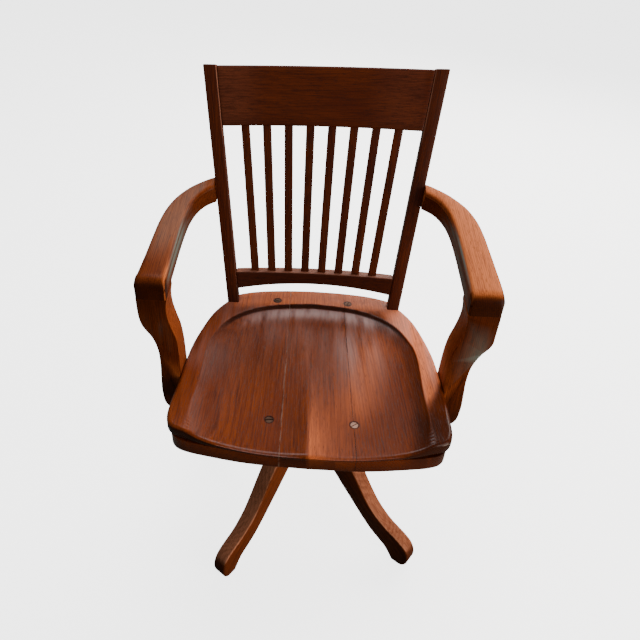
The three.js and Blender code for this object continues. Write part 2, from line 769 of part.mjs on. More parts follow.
function heightNut() {
  const outline = new THREE.Shape();
  const steps = nutLobes * nutLobeSteps;
  for (let i = 0; i < steps; i += 1) {
    const turn = (i * 2 * Math.PI) / steps;
    const radius = nutGripRadius - nutLobeDepth * (0.5 - 0.5 * Math.cos(turn * nutLobes));
    if (i === 0) outline.moveTo(radius, 0);
    else outline.lineTo(radius * Math.cos(turn), radius * Math.sin(turn));
  }
  const grip = solidOf(extruded(outline, nutBottom, nutTop, nutLobeDepth / 2, 1));
  return grip.subtract(rod(spindleRadius + slidingGap, nutBottom - overrun, nutTop + overrun));
}

function spindle() {
  const chamfer = spindleKeyDepth / 2;
  const body = turned([
    [0, spindleBottom], [spindleRadius - chamfer, spindleBottom], [spindleRadius, spindleBottom + chamfer],
    [spindleRadius, spindleTop - chamfer], [spindleRadius - chamfer, spindleTop], [0, spindleTop],
  ]);
  const half = spindleKeyWidth / 2;
  const grooveTop = yokeBottom - yokeBossClear / 2;
  const groove = block(
    [spindleRadius - spindleKeyDepth, -half, spindleBottom - overrun],
    [spindleRadius + overrun, half, grooveTop]);
  return body.subtract(groove).subtract(yokePin(glueGap));
}

function yokePin(clearance) {
  const reach = yokeBossRadius + clearance;
  return crossRod(yokePinRadius + clearance, -reach, reach, 0, pivotHeight - yokePinDrop, smallSides);
}

// The casting on the spindle: a boss, a barrel for the cross rod and an arm reaching forward
function tiltYoke() {
  const boss = turned([
    [0, yokeBottom], [yokeBossFoot, yokeBottom], [yokeBossRadius, yokeBottom + yokeBossClear],
    [yokeBossRadius, pivotHeight - yokeBarrelRadius / 2], [yokeBarrelRadius, pivotHeight], [0, pivotHeight],
  ]);
  const barrelReach = earInner - slidingGap;
  const barrel = crossRod(yokeBarrelRadius, -barrelReach, barrelReach, 0, pivotHeight);
  let body = boss.add(barrel).add(yokeArm());
  body = body.subtract(crossRod(pivotRodRadius + slidingGap, -strapX, strapX, 0, pivotHeight));
  const socket = rod(spindleRadius + glueGap, yokeBottom - overrun, spindleTop + glueGap);
  body = body.subtract(socket);
  return body.subtract(yokePin(glueGap));
}

function yokeArm() {
  const armBottom = yokeArmTop - yokeArmThickness;
  const noseY = drawBoltY - springOuterRadius - cupWall;
  const plan = new THREE.Shape();
  plan.moveTo(-yokeArmHalfWidth, 0);
  plan.lineTo(-yokeArmHalfWidth, drawBoltY);
  plan.absarc(0, drawBoltY, yokeArmHalfWidth, Math.PI, 2 * Math.PI);
  plan.lineTo(yokeArmHalfWidth, 0);
  const plate = solidOf(extruded(plan, armBottom, yokeArmTop));
  const webDepth = yokeBossRadius;
  const web = new THREE.Shape([
    new THREE.Vector2(0, armBottom + overrun), new THREE.Vector2(0, armBottom - webDepth),
    new THREE.Vector2(-yokeBossRadius - overrun, armBottom - webDepth / 2),
    new THREE.Vector2(drawBoltY + springOuterRadius + cupWall, armBottom + overrun),
  ]);
  const rib = uprightAlong(web, -earThickness, earThickness);
  const hornTop = crossRodHeight - crossRodRadius - glueGap;
  const hornInner = drawEyeWidth / 2 + stopHornClear;
  const hornHalf = stopHornWidth;
  const horn = block(
    [hornInner, drawBoltY - hornHalf, armBottom],
    [hornInner + stopHornWidth, drawBoltY + hornHalf, hornTop]);
  const slotHalf = drawEyeWidth / 2 + slidingGap;
  const slotReach = drawEyeRadius + slidingGap;
  const slot = block(
    [-slotHalf, drawBoltY - slotReach, armBottom - overrun],
    [slotHalf, drawBoltY + slotReach, hornTop + overrun]);
  const reach = yokeArmHalfWidth + overrun;
  const beyond = block(
    [-reach, noseY - yokeArmHalfWidth, armBottom - overrun], [reach, noseY, yokeArmTop + overrun]);
  return plate.add(rib).add(withMirror(horn)).subtract(slot).subtract(beyond);
}

// A strap under the seat with two hanging ears, one for the pivot and one for the cross rod
function strapBody() {
  const plan = new THREE.Shape();
  const [inner, outer] = [strapX - strapHalfWidth, strapX + strapHalfWidth];
  const [front, rear] = [frontBoltY - strapEnd, rearBoltY + strapEnd];
  plan.moveTo(inner, front + strapHalfWidth);
  plan.absarc(strapX, front + strapHalfWidth, strapHalfWidth, Math.PI, 2 * Math.PI);
  plan.lineTo(outer, rear - strapHalfWidth);
  plan.absarc(strapX, rear - strapHalfWidth, strapHalfWidth, 0, Math.PI);
  let strap = solidOf(extruded(plan, strapBottom, strapTop));
  strap = strap.add(ear(0, pivotHeight, earRadius)).add(ear(drawBoltY, crossRodHeight, frontEarRadius));
  const bore = crossRod(pivotRodRadius + glueGap, 0, outer + overrun, 0, pivotHeight);
  const frontBore = crossRod(
    crossRodRadius + glueGap, 0, outer + overrun, drawBoltY, crossRodHeight, boltSides);
  return strap.subtract(bore).subtract(frontBore);
}

function withSeatBoltHoles(body) {
  let bored = body;
  for (const bolt of seatBolts) bored = bored.subtract(seatBoltHole(bolt.x, bolt.y, bolt.sink));
  return bored;
}

function ear(y, z, radius) {
  const shape = new THREE.Shape();
  const shoulder = radius * earShoulderShare;
  shape.moveTo(y - shoulder, strapTop);
  shape.lineTo(y - shoulder, strapBottom);
  shape.lineTo(y - radius, Math.min(z, strapBottom));
  shape.absarc(y, Math.min(z, strapBottom), radius, Math.PI, 2 * Math.PI);
  shape.lineTo(y + shoulder, strapBottom);
  shape.lineTo(y + shoulder, strapTop);
  return uprightAlong(shape, earInner, earInner + earThickness);
}

function pivotRod() {
  const headInner = -earInner - earThickness - glueGap;
  const headOuter = headInner - pivotRodHeadThickness;
  const end = earInner + earThickness + glueGap + pivotNutThickness + pivotRodTail;
  const shank = crossRod(pivotRodRadius, headOuter, end, 0, pivotHeight);
  return shank.add(crossRod(pivotRodHead, headOuter, headInner, 0, pivotHeight));
}

function hexNut(width, thickness, bore) {
  const body = rod(width / Math.sqrt(3), 0, thickness, 6);
  return body.subtract(rod(bore, -overrun, thickness + overrun, boltSides));
}

function pivotNut() {
  const nut = hexNut(pivotNutWidth, pivotNutThickness, pivotRodRadius + glueGap);
  return nut.rotate([0, 90, 0]).translate([earInner + earThickness + glueGap, 0, pivotHeight]);
}

function seatNut(x, y) {
  const nut = hexNut(seatNutWidth, seatNutThickness, seatBoltRadius + glueGap);
  return nut.translate([x, y, strapBottom - glueGap - seatNutThickness]);
}

function springCrossRod() {
  const reach = earInner + earThickness + cupWall;
  return crossRod(crossRodRadius, -reach, reach, drawBoltY, crossRodHeight, boltSides);
}

// The draw bolt: an eye round the cross rod, its shank passing down through the spring
function drawBolt() {
  const half = drawEyeWidth / 2;
  const eye = crossRod(drawEyeRadius, -half, half, 0, crossRodHeight);
  const shank = rod(drawBoltRadius, drawBoltEnd, crossRodHeight, boltSides);
  const bore = crossRod(crossRodRadius + slidingGap, -drawEyeWidth, drawEyeWidth, 0, crossRodHeight);
  return eye.add(shank).subtract(bore).translate([0, drawBoltY, 0]);
}

function springSeat() {
  const bore = drawBoltRadius + springSeatClear;
  const seat = ring(bore, springOuterRadius + cupWall, springSeatTop - springSeatThickness, springSeatTop);
  return seat.translate([0, drawBoltY, 0]);
}

// The spring's centre line: closed end turns and an even climb between them
function springPoint(share) {
  const radius = springOuterRadius - springWire / 2;
  const turn = share * springCoils * 2 * Math.PI;
  const low = springBottom + springWire / 2;
  const high = springTop - springWire / 2;
  return new THREE.Vector3(
    radius * Math.cos(turn), drawBoltY + radius * Math.sin(turn), THREE.MathUtils.lerp(low, high, share));
}

function coilSpring() {
  const steps = Math.round(springCoils * springSteps);
  const positions = [];
  for (let i = 0; i <= steps; i += 1) {
    const centre = springPoint(i / steps);
    const outward = new THREE.Vector3(centre.x, centre.y - drawBoltY, 0).normalize();
    for (let k = 0; k < springSides; k += 1) {
      const turn = (k * 2 * Math.PI) / springSides;
      const point = centre.clone().addScaledVector(outward, (springWire / 2) * Math.cos(turn));
      point.z += (springWire / 2) * Math.sin(turn);
      positions.push(point.x, point.y, point.z);
    }
  }
  const corners = [];
  for (let i = 0; i < steps; i += 1) {
    for (let k = 0; k < springSides; k += 1) {
      const next = (k + 1) % springSides;
      const [a, b] = [i * springSides + k, i * springSides + next];
      const [c, d] = [a + springSides, b + springSides];
      corners.push(a, b, d, a, d, c);
    }
  }
  const last = steps * springSides;
  for (let k = 1; k < springSides - 1; k += 1) {
    corners.push(0, k + 1, k, last, last + k, last + k + 1);
  }
  const geometry = new THREE.BufferGeometry();
  geometry.setAttribute('position', new THREE.BufferAttribute(new Float32Array(positions), 3));
  geometry.setIndex(corners);
  return solidOf(geometry);
}

// The least distance between neighbouring turns of the wire, skin to skin
function leastSpringGap() {
  const steps = springCoils * springSteps * springSides;
  const nearTurn = steps / springCoils / 2;
  let least = Infinity;
  for (let i = 0; i <= steps; i += 1) {
    for (let k = i + nearTurn; k <= steps; k += 1) {
      least = Math.min(least, springPoint(i / steps).distanceTo(springPoint(k / steps)));
    }
  }
  return least - springWire;
}

function springCup() {
  const outer = springOuterRadius + slidingGap + cupWall;
  const floor = cupTop - cupFloor;
  const cup = turned([
    [drawBoltRadius + slidingGap, floor], [outer - cupWall, floor], [outer, floor + cupWall],
    [outer, cupTop + cupRim], [outer - cupWall, cupTop + cupRim], [outer - cupWall, cupTop],
    [drawBoltRadius + slidingGap, cupTop], [drawBoltRadius + slidingGap, floor],
  ]);
  return cup.translate([0, drawBoltY, 0]);
}

function tensionKnob() {
  const bore = drawBoltRadius + slidingGap;
  const bottom = knobTop - knobHeight;
  const profile = knobShares.map(([radius, height]) => [radius * knobRadius, bottom + height * knobHeight]);
  return turned([[bore, bottom], ...profile, [bore, knobTop], [bore, bottom]]).translate([0, drawBoltY, 0]);
}

// Each sub-assembly fills a group
function baseGroup() {
  const group = new THREE.Group();
  group.rotation.z = baseTurn;
  group.add(piece('base_hub', hub(), legOak));
  const legNames = ['leg_rear_right', 'leg_rear_left', 'leg_front_left', 'leg_front_right'];
  legNames.forEach((name, index) => {
    const turn = firstLegTurn + (index * 360) / legCount;
    const mesh = piece(name, leg(), legOak);
    mesh.rotation.z = THREE.MathUtils.degToRad(turn);
    group.add(mesh);
  });
  group.children[0].rotation.z = THREE.MathUtils.degToRad(firstLegTurn);
  const irons = new THREE.Group();
  irons.rotation.z = THREE.MathUtils.degToRad(firstLegTurn);
  irons.add(piece('hub_sleeve', sleeve(), castIron));
  irons.add(piece('hub_guide_plate', guidePlate(), castIron));
  collarScrewPlaces().forEach((place, index) => {
    irons.add(piece(`collar_screw_${index + 1}`, collarScrewBody(0).translate(place), screwSteel));
  });
  group.add(irons);
  return group;
}

function ironGroup() {
  const group = new THREE.Group();
  group.add(piece('thrust_washer', thrustWasher(), barSteel));
  group.add(piece('height_nut', heightNut(), castIron));
  group.add(piece('spindle', spindle(), barSteel));
  group.add(piece('tilt_yoke', tiltYoke(), castIron));
  group.add(piece('yoke_pin', yokePin(0), screwSteel));
  group.add(piece('spring_seat_washer', springSeat(), barSteel));
  group.add(piece('tilt_spring', coilSpring(), barSteel));
  group.add(piece('spring_cup', springCup(), castIron));
  group.add(piece('tension_knob', tensionKnob(), castIron));
  group.add(piece('draw_bolt', drawBolt(), barSteel));
  return group;
}

function seatGroup() {
  const group = new THREE.Group();
  const saddled = withSeatBoltHoles(seatSlab().subtract(saddleTool()));
  const slab = saddled.subtract(withMirror(toBackPlane(postTenon(glueGap))));
  const half = glueGap / 2;
  const edges = [
    ['seat_plank_left', -seatHalfWidth - overrun, leftGlueLine - half],
    ['seat_plank_middle', leftGlueLine + half, rightGlueLine - half],
    ['seat_plank_right', rightGlueLine + half, seatHalfWidth + overrun],
  ];
  for (const [name, from, to] of edges) {
    const slice = block(
      [from, -seatFrontReach - overrun, seatUnderside - overrun],
      [to, seatRearReach + overrun, seatRimHeight + overrun]);
    group.add(piece(name, slab.intersect(slice), seatOak));
  }
  for (const bolt of seatBolts) {
    group.add(piece(bolt.name, seatBolt(bolt.x, bolt.y, bolt.sink, bolt.turn), screwSteel));
    group.add(piece(bolt.name.replace('bolt', 'nut'), seatNut(bolt.x, bolt.y), barSteel));
  }
  group.add(piece('seat_strap_right', withSeatBoltHoles(strapBody()), castIron));
  group.add(piece('seat_strap_left', withSeatBoltHoles(mirrored(strapBody())), castIron));
  group.add(piece('tilt_rod', pivotRod(), barSteel));
  group.add(piece('tilt_rod_nut', pivotNut(), screwSteel));
  group.add(piece('spring_cross_rod', springCrossRod(), barSteel));
  return group;
}

function backGroup() {
  const group = new THREE.Group();
  group.add(piece('back_post_right', rightPost(), darkOak));
  group.add(piece('back_post_left', mirrored(rightPost()), darkOak));
  const pockets = slatPockets();
  const crest = railBoard(
    crestBottom, crestTop, crestThickness, crestBow, crestSetBack, 0, glueGap).subtract(pockets);
  const lower = railBoard(
    lowerRailBottom, lowerRailTop, lowerRailThickness, lowerRailBow, lowerRailSetBack, lowerRailArch,
    glueGap).subtract(pockets);
  group.add(piece('crest_rail', toBackPlane(crest), darkOak));
  group.add(piece('lower_back_rail', toBackPlane(lower), darkOak));
  for (let i = 0; i < slatCount; i += 1) {
    group.add(piece(`back_slat_${i + 1}`, toBackPlane(slatSolid(i, 0)), darkOak));
  }
  return group;
}

function armGroup() {
  const group = new THREE.Group();
  group.add(piece('arm_right', rightArm(), armOak));
  group.add(piece('arm_left', mirrored(rightArm()), armOak));
  group.add(piece('arm_support_right', rightSupport(), armOak));
  group.add(piece('arm_support_left', mirrored(rightSupport()), armOak));
  return group;
}

const chair = new THREE.Group();
chair.name = 'swivel_armchair';
chair.add(baseGroup(), ironGroup(), seatGroup(), backGroup(), armGroup());

// The finished chair is centred on x = 0, y = 0 by its own box
const bounds = new THREE.Box3().setFromObject(chair);
chair.position.y = -(bounds.min.y + bounds.max.y) / 2;
console.log(`least gap between spring turns ${leastSpringGap().toFixed(2)} mm`);

export default chair;
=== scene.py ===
"""Looks of an oak swivel desk armchair: turned, sawn and saddled wood over a sprung tilting iron.

Sizes are in millimetres in the classes and become metres in the meshes. X runs across the chair, Y
to its back and Z up. The swivel axis stands on x = 0 and a little in front of y = 0.
"""

import logging
import math
from dataclasses import dataclass, field
from enum import Enum
from typing import Callable

import bmesh
import bpy
from mathutils import Euler, Matrix, Vector


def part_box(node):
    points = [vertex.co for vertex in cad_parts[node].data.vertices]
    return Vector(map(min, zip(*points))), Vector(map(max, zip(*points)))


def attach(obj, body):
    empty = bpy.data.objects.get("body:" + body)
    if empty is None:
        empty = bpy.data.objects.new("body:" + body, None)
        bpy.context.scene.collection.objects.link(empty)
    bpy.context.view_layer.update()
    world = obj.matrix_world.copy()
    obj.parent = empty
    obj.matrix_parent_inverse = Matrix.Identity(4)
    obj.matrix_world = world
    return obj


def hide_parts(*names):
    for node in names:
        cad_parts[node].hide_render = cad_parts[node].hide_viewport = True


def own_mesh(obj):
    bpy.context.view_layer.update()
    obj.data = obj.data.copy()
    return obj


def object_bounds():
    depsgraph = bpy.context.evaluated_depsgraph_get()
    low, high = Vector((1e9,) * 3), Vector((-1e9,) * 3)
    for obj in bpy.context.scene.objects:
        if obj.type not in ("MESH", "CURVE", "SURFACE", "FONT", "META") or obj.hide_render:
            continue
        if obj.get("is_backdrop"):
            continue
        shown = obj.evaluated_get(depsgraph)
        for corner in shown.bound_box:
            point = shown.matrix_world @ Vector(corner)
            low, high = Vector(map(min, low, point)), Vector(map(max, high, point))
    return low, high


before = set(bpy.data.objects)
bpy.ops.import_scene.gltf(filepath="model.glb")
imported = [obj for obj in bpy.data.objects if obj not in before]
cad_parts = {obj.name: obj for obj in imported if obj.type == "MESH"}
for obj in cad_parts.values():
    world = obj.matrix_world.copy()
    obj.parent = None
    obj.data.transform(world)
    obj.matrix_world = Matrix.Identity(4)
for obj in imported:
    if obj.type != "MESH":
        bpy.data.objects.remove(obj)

MM = 0.001
CAD_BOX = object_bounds()
LOG = logging.getLogger("armchair")

Shape = bmesh.types.BMesh
Edge = bmesh.types.BMEdge
Vert = bmesh.types.BMVert
Piece = bpy.types.Object
Socket = bpy.types.NodeSocket
Pair = tuple[float, float]
Triple = tuple[float, float, float]
Colour = Triple
Outline = list[Vector]
Shares = list[Pair]
Marks = tuple[float, ...]
Tint = Callable[[Vector, Vector], Marks]


def srgb(red: int, green: int, blue: int) -> Colour:
    """Turns a display colour into the linear colour that a shader takes.

    Args:
        red: Red from 0 to 255.
        green: Green from 0 to 255.
        blue: Blue from 0 to 255.

    Returns:
        The linear colour.
    """
    shares = (red / 255, green / 255, blue / 255)
    return tuple(((v + 0.055) / 1.055) ** 2.4 if v > 0.04045 else v / 12.92 for v in shares)


def lerp(start: float, end: float, share: float) -> float:
    """Gives the value at a share of the way from start to end."""
    return start + (end - start) * share


def smooth_step(start: float, end: float, value: float) -> float:
    """Goes smoothly from 0 at the start to 1 at the end, which may lie below the start."""
    share = min(max((value - start) / (end - start), 0.0), 1.0)
    return share * share * (3 - 2 * share)


def bell(value: float, middle: float, width: float) -> float:
    """Rises to 1 at the middle and dies away on both sides of it."""
    return math.exp(-(((value - middle) / width) ** 2))


def quarter(steps: int) -> list[Pair]:
    """Lists the sine and cosine of even turns from none to a quarter."""
    turns = [math.pi / 2 * k / steps for k in range(steps + 1)]
    return [(math.sin(turn), math.cos(turn)) for turn in turns]


def spline(points: Shares, steps: int) -> Outline:
    """Draws a smooth line through points.

    Args:
        points: The points in the plane, in order.
        steps: How many stretches the line gets.

    Returns:
        The line's points, one more than its stretches.
    """
    line = []
    last = len(points) - 1
    for i in range(steps + 1):
        spot = last * i / steps
        k = min(int(spot), last - 1)
        t = spot - k
        picked = [points[min(max(k + j, 0), last)] for j in (-1, 0, 1, 2)]
        line.append(Vector([catmull(t, *(p[axis] for p in picked)) for axis in (0, 1)]))
    return line


def catmull(t: float, before: float, start: float, end: float, after: float) -> float:
    """Gives one coordinate of a smooth line between start and end.

    Args:
        t: The share of the way from start to end.
        before: The point before the start.
        start: Where the stretch starts.
        end: Where it ends.
        after: The point after the end.

    Returns:
        The coordinate.
    """
    a, b = (end - before) / 2, (after - start) / 2
    cubic = 2 * start - 2 * end + a + b
    square = 3 * end - 3 * start - 2 * a - b
    return cubic * t**3 + square * t * t + a * t + start


def swivel_y() -> float:
    """Gives the swivel axis's place along Y in millimetres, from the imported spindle."""
    low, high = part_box("spindle")
    return (low.y + high.y) / 2 / MM


AXIS_Y = swivel_y()


def place(x: float, y: float, z: float) -> Vector:
    """Puts a point in millimetres from the swivel axis into the chair's frame."""
    return Vector((x * MM, (y + AXIS_Y) * MM, z * MM))


def from_axis(co: Vector) -> Triple:
    """Gives a place in the chair's frame as millimetres from the swivel axis."""
    return co.x / MM, co.y / MM - AXIS_Y, co.z / MM


class Slot(Enum):
    """The record's material slots."""

    SEAT = "seat_oak"
    BACK = "dark_oak"
    ARM = "arm_oak"
    LEG = "leg_oak"
    IRON = "cast_iron"
    BAR = "bar_steel"
    SCREW = "screw_steel"


class Body(Enum):
    """The parts of the chair that move as one."""

    BASE = "base"
    WASHER = "turning_washer"
    NUT = "height_nut"
    UNDERCARRIAGE = "undercarriage"
    SEAT = "seat"
    DRAW_BOLT = "draw_bolt"
    CUP = "spring_cup"
    KNOB = "tension_knob"


class Bench:
    """Places the shader nodes of one material and joins them."""

    def __init__(self, name: str) -> None:
        """Starts a material with only its output and surface shader.

        Args:
            name: The material's name.
        """
        self.material = bpy.data.materials.new(name)
        self.material.use_nodes = True
        self.tree = self.material.node_tree
        self.surface = self.tree.nodes["Principled BSDF"]

    def node(self, kind: str, **settings: object) -> bpy.types.Node:
        """Adds a node and sets its options.

        Args:
            kind: The node's type.
            settings: Its options by name.

        Returns:
            The node.
        """
        node = self.tree.nodes.new(kind)
        for name, value in settings.items():
            setattr(node, name, value)
        return node

    def feed(self, socket: Socket, value: object) -> None:
        """Joins an output to a socket, or sets the socket to a plain value.

        Args:
            socket: The input.
            value: An output or a plain value.
        """
        if isinstance(value, Socket):
            self.tree.links.new(value, socket)
        else:
            socket.default_value = value

    def math(self, operation: str, *values: object, clamp: bool = False) -> Socket:
        """Works out one number from up to three others.

        Args:
            operation: The operation's name.
            values: Outputs or plain numbers.
            clamp: Whether the result is kept between 0 and 1.

        Returns:
            The result.
        """
        node = self.node("ShaderNodeMath", operation=operation, use_clamp=clamp)
        for socket, value in zip(node.inputs, values):
            self.feed(socket, value)
        return node.outputs[0]

    def times(self, first: object, second: object, clamp: bool = False) -> Socket:
        """Multiplies two numbers."""
        return self.math("MULTIPLY", first, second, clamp=clamp)

    def plus(self, first: object, second: object, clamp: bool = False) -> Socket:
        """Adds two numbers."""
        return self.math("ADD", first, second, clamp=clamp)

    def less(self, first: object, second: object) -> Socket:
        """Takes the second number from the first."""
        return self.math("SUBTRACT", first, second)

    def rest(self, share: object) -> Socket:
        """Gives what a share leaves of one."""
        return self.less(1.0, share)

    def moved(
        self, vector: object, scale: Triple, shift: Triple = (0, 0, 0),
        turn: Euler | None = None,
    ) -> Socket:
        """Stretches, turns and shifts coordinates.

        Args:
            vector: The coordinates.
            scale: The stretch along each axis.
            shift: The shift after the turn.
            turn: The turn, if there is one.

        Returns:
            The new coordinates.
        """
        node = self.node("ShaderNodeMapping")
        self.feed(node.inputs["Vector"], vector)
        node.inputs["Scale"].default_value = scale
        node.inputs["Location"].default_value = shift
        if turn is not None:
            node.inputs["Rotation"].default_value = turn
        return node.outputs[0]

    def vector(self, operation: str, *values: object) -> bpy.types.Node:
        """Works on vectors; the node's first output is a vector and its second a number.

        Args:
            operation: The operation's name.
            values: Outputs or plain vectors.

        Returns:
            The node.
        """
        node = self.node("ShaderNodeVectorMath", operation=operation)
        for socket, value in zip(node.inputs, values):
            self.feed(socket, value)
        return node

    def noise(
        self, vector: object, scale: float = 1.0, detail: float = 2.0, rough: float = 0.5
    ) -> bpy.types.Node:
        """Adds cloudy noise over the given coordinates.

        Args:
            vector: The coordinates.
            scale: How often it repeats in a metre.
            detail: How many finer layers it has.
            rough: How strong they are.

        Returns:
            The node.
        """
        node = self.node("ShaderNodeTexNoise")
        self.feed(node.inputs["Vector"], vector)
        node.inputs["Scale"].default_value = scale
        node.inputs["Detail"].default_value = detail
        node.inputs["Roughness"].default_value = rough
        return node

    def ramp(self, value: object, low: float, high: float) -> Socket:
        """Rises smoothly from 0 to 1 between two values.

        Args:
            value: The value that is followed.
            low: Where the rise starts.
            high: Where it ends.

        Returns:
            The number from 0 to 1.
        """
        node = self.node("ShaderNodeMapRange", interpolation_type="SMOOTHSTEP")
        self.feed(node.inputs["Value"], value)
        node.inputs["From Min"].default_value = low
        node.inputs["From Max"].default_value = high
        return node.outputs[0]

    def mixed(self, share: object, first: object, second: object) -> Socket:
        """Mixes two colours by a share of the second.

        Args:
            share: The share of the second colour.
            first: The first colour.
            second: The second colour.

        Returns:
            The mixture.
        """
        node = self.node("ShaderNodeMix", data_type="RGBA")
        self.feed(node.inputs[0], share)
        for socket, value in ((node.inputs[6], first), (node.inputs[7], second)):
            self.feed(socket, (*value, 1.0) if isinstance(value, tuple) else value)
        return node.outputs[2]

    def attribute(self, name: str) -> Socket:
        """Reads a number that the piece carries on its points."""
        node = self.node("ShaderNodeAttribute", attribute_name=name)
        return node.outputs["Fac"]

    def bump(self, height: object, depth: float, strength: float = 1.0) -> None:
        """Gives the surface a relief of the given depth in metres.

        Args:
            height: The relief, from 0 to 1.
            depth: Its depth.
            strength: How strongly it shows.
        """
        node = self.node("ShaderNodeBump")
        node.inputs["Strength"].default_value = strength
        node.inputs["Distance"].default_value = depth
        self.feed(node.inputs["Height"], height)
        self.feed(self.surface.inputs["Normal"], node.outputs[0])


@dataclass(frozen=True)
class Board:
    """How a piece was sawn from the tree.

    Attributes:
        along: The direction of its fibres.
        face: The direction out of its broad face.
        pith: Where the tree's centre lay across and below the piece, in millimetres.
        ring: The width of a year's growth in millimetres.
        seams: Glue lines along the piece: where each lies across the chair in millimetres, its
            slant, and whether pale dust has settled in it.
        countersink_shadows: Places, in metres, about which a painted shadow ring darkens the oak
            round each bolt's countersink.
    """

    along: Triple
    face: Triple
    pith: Pair = (20.0, -90.0)
    ring: float = 3.4
    seams: tuple[tuple[float, float, bool], ...] = ()
    countersink_shadows: tuple[Triple, ...] = ()

    def turn(self) -> Euler:
        """Gives the turn that lays the fibres along X and the broad face up.

        Returns:
            The turn.
        """
        along = Vector(self.along).normalized()
        face = Vector(self.face)
        face = (face - along * face.dot(along)).normalized()
        return Matrix((along, face.cross(along), face)).to_euler("XYZ")


@dataclass(frozen=True)
class Figure:
    """Noise that is drawn out along the fibres.

    Attributes:
        along: How quickly it changes along the fibres.
        across: How quickly it changes across them.
        detail: How many finer layers it has.
        rough: How strong those layers are.
    """

    along: float
    across: float
    detail: float = 3.0
    rough: float = 0.6

    def drawn(self, bench: Bench, grain: Socket) -> bpy.types.Node:
        """Adds the noise over coordinates with the fibres along X."""
        stretched = bench.moved(grain, (self.along, self.across, self.across))
        return bench.noise(stretched, detail=self.detail, rough=self.rough)


FIBRE = Figure(8, 500, detail=4)
DASH = Figure(16, 290)
CLOUD = Figure(4, 12)
STREAK = Figure(60, 760, detail=2, rough=0.55)
PAINTED_SHEEN_PATCHES = Figure(5, 46, detail=2, rough=0.5)
SWAY = Figure(1.6, 7, rough=0.5)
FLECK_STRETCH = (300, 26, 40)
SEAM_DUST = srgb(150, 122, 106)


